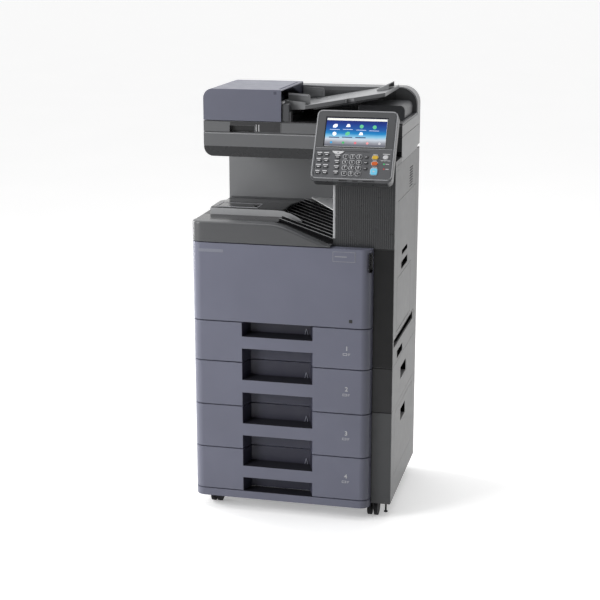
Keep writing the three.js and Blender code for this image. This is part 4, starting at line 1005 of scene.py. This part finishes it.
def feeder_details():
    """Rollers, guide ribs, a green release lever and the roller arm under the blue cover."""
    box, roller = Box("feeder_mechanism"), Box("pickup_roller")
    x, tyres, shafts, arm = box.x0, Mold(PROCESSOR), Mold(PROCESSOR), Mold(PROCESSOR)
    ribs = Mold(PROCESSOR).bars("y", steps(box.y0 + 12, 15.4, 14), 1.8, box.x(8, -38),
                                at(FEED_DECK, -0.5, 2.6), 0.6, 2)
    ribs.piece("feeder_guide_ribs", INNER)
    for y in (-40, -8, 34, 66, 98):
        tyres.roller("y", y - 9, y + 9, 8, 1, 1, (x + 90, ROW_Y, FEED_DECK - 1), 24)
    tyres.piece("feed_roller_tyres", ROLLER)
    for across, z, radius in ((90, FEED_DECK - 1, 3), (42, FEED_DECK + 1, 2.4)):
        shafts.rod((x + across, box.y0 + 8, z), (x + across, box.y1 - 8, z), radius)
    shafts.piece("feed_roller_shafts", BRIGHT)
    lever = moved([(4, 0), (26, 0), (24, 9), (6, 12)], box.y0, FEED_DECK)
    Mold(PROCESSOR).prism("x", lever, x + 118, x + 134, 1.4).piece("jam_release_lever", GREEN_PART)
    for y in (roller.y0 - 2.6, roller.y1 + 0.2):
        arm.prism("y", rounded(roller.x0 - 34, roller.cx + 5, *at(roller.cz, -5, 5), 4.8, 5), y, y + 2.2, 0.5)
    arm.block(at(roller.x0, -32, -26), roller.y(0, 0), at(roller.cz, -3, 4), 1).piece("pickup_arm", CAP)
    side = moved([(-2, 1016), (22, 1016), (22, 1052), (10, 1062), (-2, 1060)], box.y0, 0)
    side = Mold(PROCESSOR).prism("x", side, *at(Box("processor_cover").x1, 0.8, 20), 1.4)
    side.piece("feeder_side_guide", SLATE)
    entry = [(-50, 1058.4), (-50, 1061), (-54, 1063.6), (-66, 1063.6), (-66, 1058.4)]
    Mold(PROCESSOR).prism("y", entry, *box.y(6, -6), 0.5).piece("feeder_entry_lip", TRIM)


TRAY_KINK, TRAY_END = (4, 1056), (214, 1094)  # where the document tray's surface bends, and its far end
GUIDE_SLOTS = ((26, 30), (-45, -36), (129, 138))  # slots across the tray that carry no rib


def tray_height(x):
    """Height of the document tray's surface."""
    slope = (TRAY_END[1] - TRAY_KINK[1]) / (TRAY_END[0] - TRAY_KINK[0])
    return TRAY_KINK[1] + (x - TRAY_KINK[0]) * (0.11 if x < TRAY_KINK[0] else slope)


def tray_band(x0, x1, low, high):
    """Outline of a band that follows the tray's surface, from low to high over it."""
    z0, z1 = tray_height(x0), tray_height(x1)
    return [(x0, z0 + low), (x1, z1 + low), (x1, z1 + high), (x0, z0 + high)]


def document_tray_details():
    """Ribs and front edge of the tray, pads and rims on its width guides, and the stopper's grip."""
    box, stop, body = Box("document_tray"), Box("document_stopper"), "document_tray"
    ribs, under, edge, grip = Mold(body), Mold(body), Mold(body), Mold("document_stopper")
    y0, y1 = box.y(3, -3)
    for y in steps(y0 + 14, (y1 - y0 - 28) / 6, 7):
        if not any(low < y - ROW_Y < high for low, high in GUIDE_SLOTS):
            ribs.prism("y", tray_band(18, 108, -0.2, 0.9), y, y + 1.4, 0.3)
    ribs.piece("document_tray_ribs", TRIM)
    keel = [(x, tray_height(x) - drop) for x, drop in ((10, 9.8), (205, 9.8), (190, 15), (30, 15))]
    for y in steps(y0 + 8, (y1 - y0 - 16) / 5, 6):
        under.prism("y", keel, y, y + 1.6)
    under.piece("document_tray_underside_ribs", SLATE)
    for x0, x1 in ((5, 110.8), (133.2, 213)):
        edge.prism("y", tray_band(x0, x1, -9.6, -0.4), *at(box.y0, -0.4, 0.5), 0.2)
    edge.piece("document_tray_front_edge", TRAY_EDGE)
    for node, turn in (("width_guide_front", 1), ("width_guide_rear", -1)):
        pad, rim = Mold(node), Mold(node)
        outer, inner = Box(node).y(0, 0)[::turn]
        face = [(-42, tray_height(-42) + 4), (8, tray_height(8) + 4), (8, 1076), (-42, 1080)]
        pad.prism("y", face, *sorted(at(inner, -turn * 0.4, turn * 1.1)), 0.4)
        for x in steps(-38, 17, 3):
            pad.prism("y", tray_band(x, x + 12, 0.5, 1.5), *sorted((inner, inner + turn * 22)), 0.3)
        pad.piece(f"{node}_pad", MID_PALE)
        crest = [(-44, 1083), (5, 1081), (9, 1079.5), (9, 1077), (5, 1078.6), (-44, 1080.6)]
        rim.prism("y", crest, *sorted((outer, outer - turn)), 0.3).piece(f"{node}_rim", SOFT_PRINT, UPPER)
    for y in steps(stop.y0 + 20, 6, 8):
        grip.prism("y", moved([(0, -9.6), (10, -3.8), (10, -2.6), (0, -8.4)], stop.x1 - 16, stop.z1), y,
                   y + 2, 0.3)
    grip.piece("document_stopper_grip", SLATE, PALER)


def processor_back_and_hinges():
    """Hoods and vents at the back of the document processor, and the hinge leaves on the scanner housing."""
    box, deck = Box("processor_base"), Box("scanner_housing")
    hoods = Mold(PROCESSOR).bars("x", (-190, 130), 60, at(box.y1, -26, -0.3), at(box.z0, 1, 22), 1.5, 2)
    hoods.piece("processor_hinge_hoods", SLATE, DARK)
    vents = Mold(PROCESSOR).bars("x", steps(-120, 11, 22), 4, at(box.y1, -1.0, -0.1), (1040, 1072))
    vents.piece("processor_back_vents", SATIN_BLACK)
    leaves = Mold()
    for x in (-186, 134):
        leaves.block((x, x + 52), at(deck.y1, -1.0, -0.1), at(deck.z1, -34, -4), 0.5)
        for place in ((x + 8, -12), (x + 8, -30), (x + 44, -12), (x + 44, -30)):
            leaves.lathe("y", [(-1.2, 3.4), (-0.3, 3.4), (-0.1, 2.6)],
                         (place[0], deck.y1, deck.z1 + place[1]), 14)
    leaves.piece("processor_hinge_leaves", STEEL)


# ---- sides -----------------------------------------------------------------------------------------

def opening(name):
    """A finger opening's box from the record, in millimetres of the machine's own frame."""
    low, high = next(o["box_m"] for o in frame["record"]["physics"]["openings"] if o["name"] == name)
    x, y, z = ((a / MM, b / MM) for a, b in zip(low, high))
    return x, y, (z[0] - LIFT, z[1] - LIFT)


def side_pockets():
    """Thin black liners in the finger slots of the right side; two keep a bare sloped floor."""
    skin = 0.5
    for name, body, floored in (("engine_door_grip", "engine_door", True),
                                ("engine_door_latch", "engine_door", True),
                                ("carrying_grip", "machine", True), ("feeder_grip", "machine", False),
                                ("side_door_grip", "cabinet_side_door", False)):
        x, y, z = opening(name)
        x = (x[0] + 0.1, Box("main_right_cover").x1 - 0.9)
        liner = Mold(body).block((x[0], x[0] + skin), y, z, 0.1, 1)
        liner.bars("y", (y[1] - skin, y[0]), skin, x, z, 0.1)
        liner.bars("z", (z[1] - skin, z[0])[:1 + floored], skin, x, y, 0.1).piece(f"{name}_liner", VENT_BLACK)


def right_side_details():
    """Dark liners behind louvres and seams, door furniture, and the multi-purpose tray's guides."""
    face, door, tray, side = (Box(name) for name in (
        "main_right_cover", "engine_door", "multi_purpose_tray", "cabinet_side_door"))
    face, seams, rollers = face.x1, Mold(), Mold("engine_door")
    liner = Mold().block(at(face, -6.6, -5.0), (56, 120), (830, 895), 0.2)
    liner.block(at(face, -12, -10.5), (-152, 157), (446, 474), 0.2)
    liner.bars("z", steps(835.1, 7, 8), 2.8, at(face, -5.2, -0.7), (62.7, 113.3), 0.1, 2)
    liner.piece("right_slot_liner", VENT_BLACK)
    stack = [Box(name) for name in ("cabinet_right_cover", "feeder_right_cover", "main_right_cover",
                                    "scanner_housing")]
    for low, high in zip(stack, stack[1:]):
        seams.block(at(low.x1, -1.8, -0.5), low.y(3, -3), (low.z1 - 0.8, high.z0 + 0.8), 0.1)
    seams.piece("right_cover_seams", VENT_BLACK)
    latch = Mold("engine_door").prism("z", rounded(*at(door.x1, -10.5, -7.5), -43, 40, 1.2, 3), 676, 681, 0.4)
    latch.prism("z", rounded(*at(door.x1, -14.5, -10), -46, 42, 1.8, 3), 639, 645, 0.6)
    latch.piece("engine_door_latch_bars", BLACK)
    inside = Mold("engine_door").bars("z", steps(700, 9.6, 12), 1.8, door.x(16.6, -6.1), door.y(24, -22))
    inside.piece("engine_door_guide_ribs", INNER)
    for z in (690, 820):
        for y in (-70, -20, 30, 80):
            rollers.roller("y", y - 8, y + 8, 5, 0.6, 1, (door.x1 - 12.5, ROW_Y, z), 18)
    rollers.piece("engine_door_rollers", ROLLER)
    line = (*tray.y(10, -10), *tray.z(10, -12))
    line = Mold("multi_purpose_tray").plate("x", line, [inset(line, 1)], *at(tray.x1, -0.7, -0.05), 0.1)
    line.piece("multi_purpose_tray_line", COVER_SHADE)
    guides = Mold("multi_purpose_tray")
    for y in (tray.y0 + 46, tray.y1 - 46):
        guides.block(at(tray.x0, -3.6, 0.6), at(y, -2, 2), tray.z(30, -30), 0.8)
        guides.bars("z", steps(tray.z0 + 40, 15, 5), 2, at(tray.x0, -1.2, 0.6), at(y, -9, 9), 0.3)
    guides.piece("multi_purpose_tray_guides", INNER)
    ribs = Mold("cabinet_side_door").bars("z", steps(side.z0 + 12, 13.5, 8), 2, at(side.x0, -3.2, 0.4),
                                          side.y(16, -16), 0.5, 2)
    ribs.piece("cabinet_side_door_ribs", INNER)
    for name, heights in (("engine_door", (500, 650, 800)), ("cabinet_side_door", (110, 240))):
        leaf, knuckles = Box(name), Mold(name)
        for z in heights:
            knuckles.roller("z", z - 9, z + 9, 2.9, 0.5, 0.6, (leaf.x0 - 0.4, leaf.y1 - 6, 0), 18)
            knuckles.block(at(leaf.x0, -1.6, 0.4), at(leaf.y1, -24, -6), at(z, -7, 7), 0.5)
        knuckles.piece(f"{name}_hinges", STEEL)
    for node, body, y0, y1, z in (("cabinet_side_door", "cabinet_side_door", -22, 53, 212),
                                  ("feeder_right_cover", "machine", -34, 55, 334)):
        grip = Mold(body).bars("y", steps(y0 + 4, (y1 - y0 - 10) / 8, 9), 2, at(Box(node).x1, -15.8, -14.6),
                               at(z, 1, 24), 0.3)
        grip.piece(f"{node}_grip_ribs", COVER_SHADE)


def left_side_details():
    """Dark liners behind the left louvres, screw caps and a framed carrying grip."""
    box, caps = Box("main_left_cover"), Mold()
    liner = Mold().block(at(box.x0, 5.0, 6.4), (50, 141), (555, 676), 0.2)
    liner.block(at(box.x0, 5.0, 6.4), (-110, -38), (634, 700), 0.2)
    liner.bars("y", steps(56, 7, 12), 1.2, at(box.x0, 4.9, 5.6), (556, 675), 0.2)
    liner.piece("left_slot_liner", SATIN_BLACK)
    for node, margin in (("cabinet_left_cover", 14), ("feeder_left_cover", 12), ("main_left_cover", 16)):
        side = Box(node)
        for y in side.y(margin, -margin):
            for z in side.z(margin, -margin):
                caps.lathe("x", [(0.02, 2.6), (0.05, 4.0), (0.9, 4.4)], (side.x0, y, z), 20)
    caps.piece("left_screw_caps", COVER_SHADE)
    well = (*at(box.cy, -55, 55), *at(box.z0, 23, 40))
    rim = Mold().plate("x", (*at(box.cy, -60, 60), *at(box.z0, 18, 44)), [well], *at(box.x0, 0.03, 1.0), 0.3)
    rim.piece("left_grip_frame", COVER_SHADE)
    Mold().block(at(box.x0, 0.03, 0.8), well[:2], well[2:], 0.2).piece("left_grip_well", SATIN_BLACK)


# ---- rear ------------------------------------------------------------------------------------------

def vent_grid(mold, x, y, z, pitch=7.0, slot=3.2):
    """A field of level bars, between which the dark liner shows."""
    count = math.ceil((z[1] - slot - z[0]) / pitch)
    mold.bars("z", steps(z[0] + slot, pitch, count), pitch - slot, x, y, 0.5)


def rear_details():
    """Four rear covers with vents and screws, the power inlet with its switch, and a row of sockets."""
    wall, column, main, feeder = (Box(name)
                                  for name in ("cabinet_frame", "rear_column", "main_frame", "feeder_frame"))
    y0, y1 = wall.y1 + 0.25, Box("scanner_housing").y1 - 0.1
    x0, x1 = wall.x(0.4, -0.4)
    vents, inlets = [(-206, -60, 590, 690), (60, 206, 590, 690)], [(-228, -178, 424, 462),
                                                                   (-166, -140, 426, 460)]
    for name, z0, z1, holes, grids in (("cabinet", wall.z0 + 1, feeder.z0 - 0.8, [], []),
                                       ("feeder", feeder.z0 + 0.4, main.z0 - 0.8, [], []),
                                       ("lower", main.z0 + 0.6, 560, inlets, []),
                                       ("upper", 561, main.z1 - 0.4, [*vents, (212, 246, 590, 700)], vents)):
        cover, screws = Mold().plate("y", (x0, x1, z0, z1), holes, y0, y1 - 0.5, 0.7), Mold()
        for hole in grids:
            vent_grid(cover, (hole[0] - 0.5, hole[1] + 0.5), (y0 + 0.8, y1 - 0.9), hole[2:])
        cover.piece(f"rear_{name}_cover", LIGHT)
        for x in (x0 + 9, 0, x1 - 9):
            for z in (z0 + 10, z1 - 10):
                screws.lathe("y", [(y1 - 1.4, 3.6), (y1 - 0.4, 3.4), (y1 - 0.15, 2.4)], (x, 0, z), 16)
        screws.piece(f"rear_{name}_screws", STEEL)
    cap = Mold().plate("y", (*column.x(0.3, -0.3), *column.z(0.3, -0.3)), [(-140, -20, 800, 870)],
                       column.y1 + 0.2, y1 - 0.5, 0.7)
    vent_grid(cap, (-140.5, -19.5), (column.y1 + 0.9, y1 - 0.9), (800, 870))
    cap.piece("rear_column_cover", GREY)
    liner = Mold().bars("x", (-210, 56), 154, at(wall.y1, 0.05, 0.5), (586, 694), 0.1, 2)
    liner.block((-144, -16), at(column.y1, 0.05, 0.5), (796, 874), 0.1).piece("rear_vent_liner", SATIN_BLACK)
    inlet = Mold().plate("y", (-227.6, -178.4, 424.4, 461.6), [(-219, -187, 432, 454)], y0, y1 - 0.9, 0.5)
    inlet.block((-219, -187), (y0, y0 + 0.6), (432, 454), 0.1).piece("power_inlet_frame", SATIN_BLACK)
    pins, sockets = Mold(), Mold()
    for x, z in ((-210, 441), (-203, 447), (-196, 441)):
        pins.block(at(x, -0.9, 0.9), (y0 + 0.4, y1 - 1.4), at(z, -2.4, 2.4), 0.3)
    pins.piece("power_inlet_pins", BRIGHT)
    switch = Mold().plate("y", (-165.6, -140.4, 426.4, 459.6), [(-161, -145, 432, 454)], y0, y1 - 0.9, 0.5)
    rocker = [(y0, 432.4), (y0, 453.6), (y1 - 1.2, 453.6), (y0 + 1.6, 443), (y1 - 2.2, 432.4)]
    switch.prism("x", rocker, -160.6, -145.4, 0.3).piece("power_inlet_switch", SATIN_BLACK)
    for k, (wide, tall) in enumerate(((14, 12), (14, 12), (9, 14), (9, 14), (20, 9))):
        hole = (*at(229, -wide / 2, wide / 2), *at(602 + 19 * k, -tall / 2, tall / 2))
        sockets.plate("y", inset(hole, -2), [hole], y0, y0 + 2.2, 0.3)
    sockets.piece("rear_socket_frames", STEEL)
    well = Mold().block((211.6, 246.4), at(wall.y1, 0.05, 0.4), (590, 700), 0.1)
    well.piece("rear_socket_well", SATIN_BLACK)


# ---- inside the engine -----------------------------------------------------------------------------

def engine_inside():
    """Behind the front cover: the inner panel, toner container ends with colour tags, and green levers."""
    y, belt, fuser = Box("front_cover").y1 + 4, Box("transfer_belt_unit"), Box("fusing_unit")
    ends, levers, rollers = {c: Box(f"toner_container_{c}") for c in COLOURS}, Mold(), Mold()
    holes = [(*end.x(-2, 2), *end.z(-2, 2)) for end in ends.values()] + [(*belt.x(20, -10), *belt.z(-6, 4))]
    panel = Mold().plate("y", (-250, 190, 508.5, 706), holes, y, y + 2.4, 0.6)
    panel.bars("x", steps(-236, 34, 12), 12, at(y, -0.8, 0.6), (514, 524), 0.5,
               2).piece("engine_inner_panel", PALE)
    for colour, end in ends.items():
        tag = Mold().prism("y", rounded(*at(end.cx, -16, -7), *end.z(12, -12), 2, 3),
                           *at(end.y0, 7.3, 8.8), 0.4)
        tag.prism("y", rounded(*at(end.cx, 7, 20), *at(end.cz, -5, 5), 2, 3), *at(end.y0, 7.3, 8.6), 0.4)
        tag.piece(f"toner_tag_{colour}", TONER[colour])
    for x in (belt.x0 + 34, belt.x1 - 30):
        levers.prism("y", rounded(*at(x, -6, 6), *at(belt.z0, -2, 30), 5.5, 5), y + 3, y + 8, 1)
    levers.piece("belt_unit_levers", GREEN_PART)
    for x in belt.x(24, -24):
        rollers.lathe("y", [(belt.y0 - 3, 6), (belt.y0 - 2.4, 7), (belt.y0 + 0.5, 7)], (x, 0, belt.cz), 20)
    rollers.piece("belt_roller_ends", BRIGHT)
    fins = Mold().bars("y", steps(fuser.y0 + 14, 20.5, 14), 2, at(fuser.x1, -0.4, 2.4), fuser.z(100, -20))
    fins.piece("fusing_unit_fins", INNER)


def exit_rollers():
    """Roller pairs at the paper exit, and the guide over them."""
    tyres = Mold()
    for y in (-70, -10, 50, 110):
        for z in (741, 756):
            tyres.roller("y", y - 10, y + 10, 8, 0.6, 1, (146, 0, z), 24)
    tyres.piece("exit_roller_tyres", ROLLER)
    guide = Mold().prism("y", [(118, 768), (150, 788), (150, 791), (114, 772)],
                         *Box("fusing_unit").y(42, -42), 0.6)
    guide.piece("exit_guide", BLACK)


# ---- casters ---------------------------------------------------------------------------------------

SWIVEL_INSET = 17  # from a fork's rear end to its swivel axis
FOOT_FORWARD = 33  # from the swivel axis to the levelling foot


def caster_details(corner):
    """Hub caps, the raised guard over each wheel pair and the bolted plate over its swivel."""
    wheels, fork = Box(f"caster_wheels_{corner}"), Box(f"caster_fork_{corner}")
    tread, hubs, guard = (wheels.y1 - wheels.y0) / 2, Mold(f"wheels_{corner}"), Mold(f"caster_{corner}")
    profile = [(-0.3, 16), (0.15, 16), (0.3, 13.8), (-0.1, 13.2), (-0.1, 5.4), (0.3, 4.8), (0.4, 2)]
    for x, turn in ((wheels.x0, -1), (wheels.x1, 1)):
        hubs.lathe("x", [(turn * along, radius) for along, radius in profile],
                   (x - turn * 0.45, wheels.cy, wheels.cz), 24)
    hubs.piece(f"caster_hubs_{corner}", CAP)
    hood = (arc(wheels.cy, wheels.cz, tread + 2.8, 36, 144, 10) + arc(wheels.cy, wheels.cz,
                                                                      tread + 1.2, 144, 36, 10))
    for x0, x1 in ((wheels.x0 + 0.6, fork.cx - 3.3), (fork.cx + 3.3, wheels.x1 - 0.6)):
        guard.prism("x", hood, x0, x1, 0.4)
    guard.block(at(fork.cx, -3.6, 3.6), at(wheels.cy, -6, 12), at(wheels.cz + tread, 1, 3.6), 0.8)
    guard.piece(f"caster_guard_{corner}", BLACK)
    plate = Mold().lathe("z", [(0.02, 19), (0.2, 19.4), (0.38, 19.4)],
                         (fork.cx, fork.y1 - SWIVEL_INSET, fork.z1))
    plate.piece(f"caster_plate_{corner}", STEEL)


def levelling_foot():
    """A thin levelling foot by the front right caster, clear of the floor and of the caster's swing."""
    cabinet, fork, thread, pitch = Box("cabinet_frame"), Box("caster_fork_front_right"), 6.6, 1.9
    centre = (cabinet.x1 - 12, fork.y1 - SWIVEL_INSET - FOOT_FORWARD, 0)
    foot = Mold().lathe("z", [(2, 4.5), (2.6, 5.5), (5, 5.5), (6, 3.2), (6.6, 2.6)], centre, 24)
    for z in steps(thread, pitch, int((cabinet.z0 + 1 - thread) / pitch)):
        foot.lathe("z", [(z, 2.3), (z + 0.7, 3), (z + 1.6, 2.3)], centre, 16)
    foot.piece("levelling_foot", BLACK)


# ---- everything ------------------------------------------------------------------------------------

for cassette in (f"cassette_{n}" for n in CASSETTES):
    cassette_mark(cassette, Box(f"{cassette}_front"))
    cassette_interior(cassette, Box(f"{cassette}_tray"))
    grip_painted_shade_shells(cassette, Box(f"{cassette}_front"))
for build in (front_cover_plates, front_cover_inside, upper_front_panel, skirt_details,
              pillar_details, post_shade_skins,
              output_tray_details, output_bay_details, panel_frame, touch_screen_image,
              key_caps, single_key_tops,
              panel_bracket_details, scanner_details, carriage_details, processor_base_details,
              processor_cover_details, feeder_details, document_tray_details,
              processor_back_and_hinges, side_pockets,
              right_side_details, left_side_details, rear_details, engine_inside, exit_rollers):
    build()
for caster_corner in CORNERS:
    caster_details(caster_corner)
levelling_foot()


# ---- stage -----------------------------------------------------------------------------------------

BRIGHT_SIDE = (-0.5, 0.8, 0.33)  # behind, to the left of and above the machine
WORLD_DARK, WORLD_BRIGHT = 0.03, 1.0
CAMERA_AT = (0.8184, -3.5566, 1.4593 + LIFT * MM)
CAMERA_TURN = math.radians(13.26)  # to the operator's left
CAMERA_TILT = math.radians(14.34)  # down
CAMERA_LENS = 83.5


def put(name, data):
    obj = bpy.data.objects.new(name, data)
    bpy.context.scene.collection.objects.link(obj)
    return obj


def build_floor():
    """A wide pale floor under and behind the machine."""
    bm, mesh, paint = bmesh.new(), bpy.data.meshes.new("floor"), Paint("pale_floor")
    bmesh.ops.create_grid(bm, x_segments=8, y_segments=8, size=90)
    bm.to_mesh(mesh)
    bm.free()
    tone = paint.tint(paint.noise(1.5), (0.93, 0.93, 0.93, 1), (0.96, 0.96, 0.96, 1))
    mesh.materials.append(paint.shader(Base_Color=tone, Roughness=0.85, Specular_IOR_Level=0.1,
                                       Emission_Color=tone, Emission_Strength=0.32))
    floor = put("floor", mesh)
    floor.visible_diffuse = False  # the pale floor shows in gloss but does not light the machine from below


def build_world():
    """A plain studio that is bright on one side and falls away softly to the other."""
    world = bpy.data.worlds.new("studio")
    world.use_nodes = True
    nodes, links = world.node_tree.nodes, world.node_tree.links
    facing, level = nodes.new("ShaderNodeVectorMath"), nodes.new("ShaderNodeMapRange")
    sky = nodes["Background"]
    facing.operation, level.interpolation_type = "DOT_PRODUCT", "SMOOTHSTEP"
    facing.inputs[1].default_value = BRIGHT_SIDE
    for name, value in (("From Min", -0.75), ("From Max", 0.7), ("To Min", WORLD_DARK),
                        ("To Max", WORLD_BRIGHT)):
        level.inputs[name].default_value = value
    sky.inputs["Color"].default_value = (1, 1, 1, 1)
    links.new(nodes.new("ShaderNodeTexCoord").outputs["Generated"], facing.inputs[0])
    links.new(facing.outputs["Value"], level.inputs["Value"])
    links.new(level.outputs["Result"], sky.inputs["Strength"])
    bpy.context.scene.world = world


def build_lights():
    for name, place, target, size, power in (
            ("overhead_softbox", (-0.4, 0.2, 3.4), (0, 0, 1.0), (2.6, 2.2), 22),
            ("front_left_softbox", (-1.9, -1.9, 1.5), (-0.1, 0, 0.6), (0.9, 1.9), 46),
            ("left_edge_strip", (-2.7, 0.9, 1.2), (0, 0, 0.8), (0.45, 2.2), 42),
            ("right_softbox", (3.2, 0.6, 1.5), (0, 0, 0.7), (1.6, 2.4), 18)):
        light = bpy.data.lights.new(name, "AREA")
        light.shape, light.size, light.size_y, light.energy = "RECTANGLE", *size, power
        lamp = put(name, light)
        lamp.location = place
        lamp.rotation_euler = (Vector(target) - Vector(place)).to_track_quat("-Z", "Y").to_euler()


def build_camera():
    data = bpy.data.cameras.new("camera")
    data.lens, data.sensor_width, data.clip_end = CAMERA_LENS, 36, 300
    camera = put("camera", data)
    camera.location = CAMERA_AT
    camera.rotation_euler = (math.pi / 2 - CAMERA_TILT, 0, CAMERA_TURN)
    bpy.context.scene.camera = camera


build_floor()
build_world()
build_lights()
build_camera()
bpy.context.scene.view_settings.view_transform = "Standard"
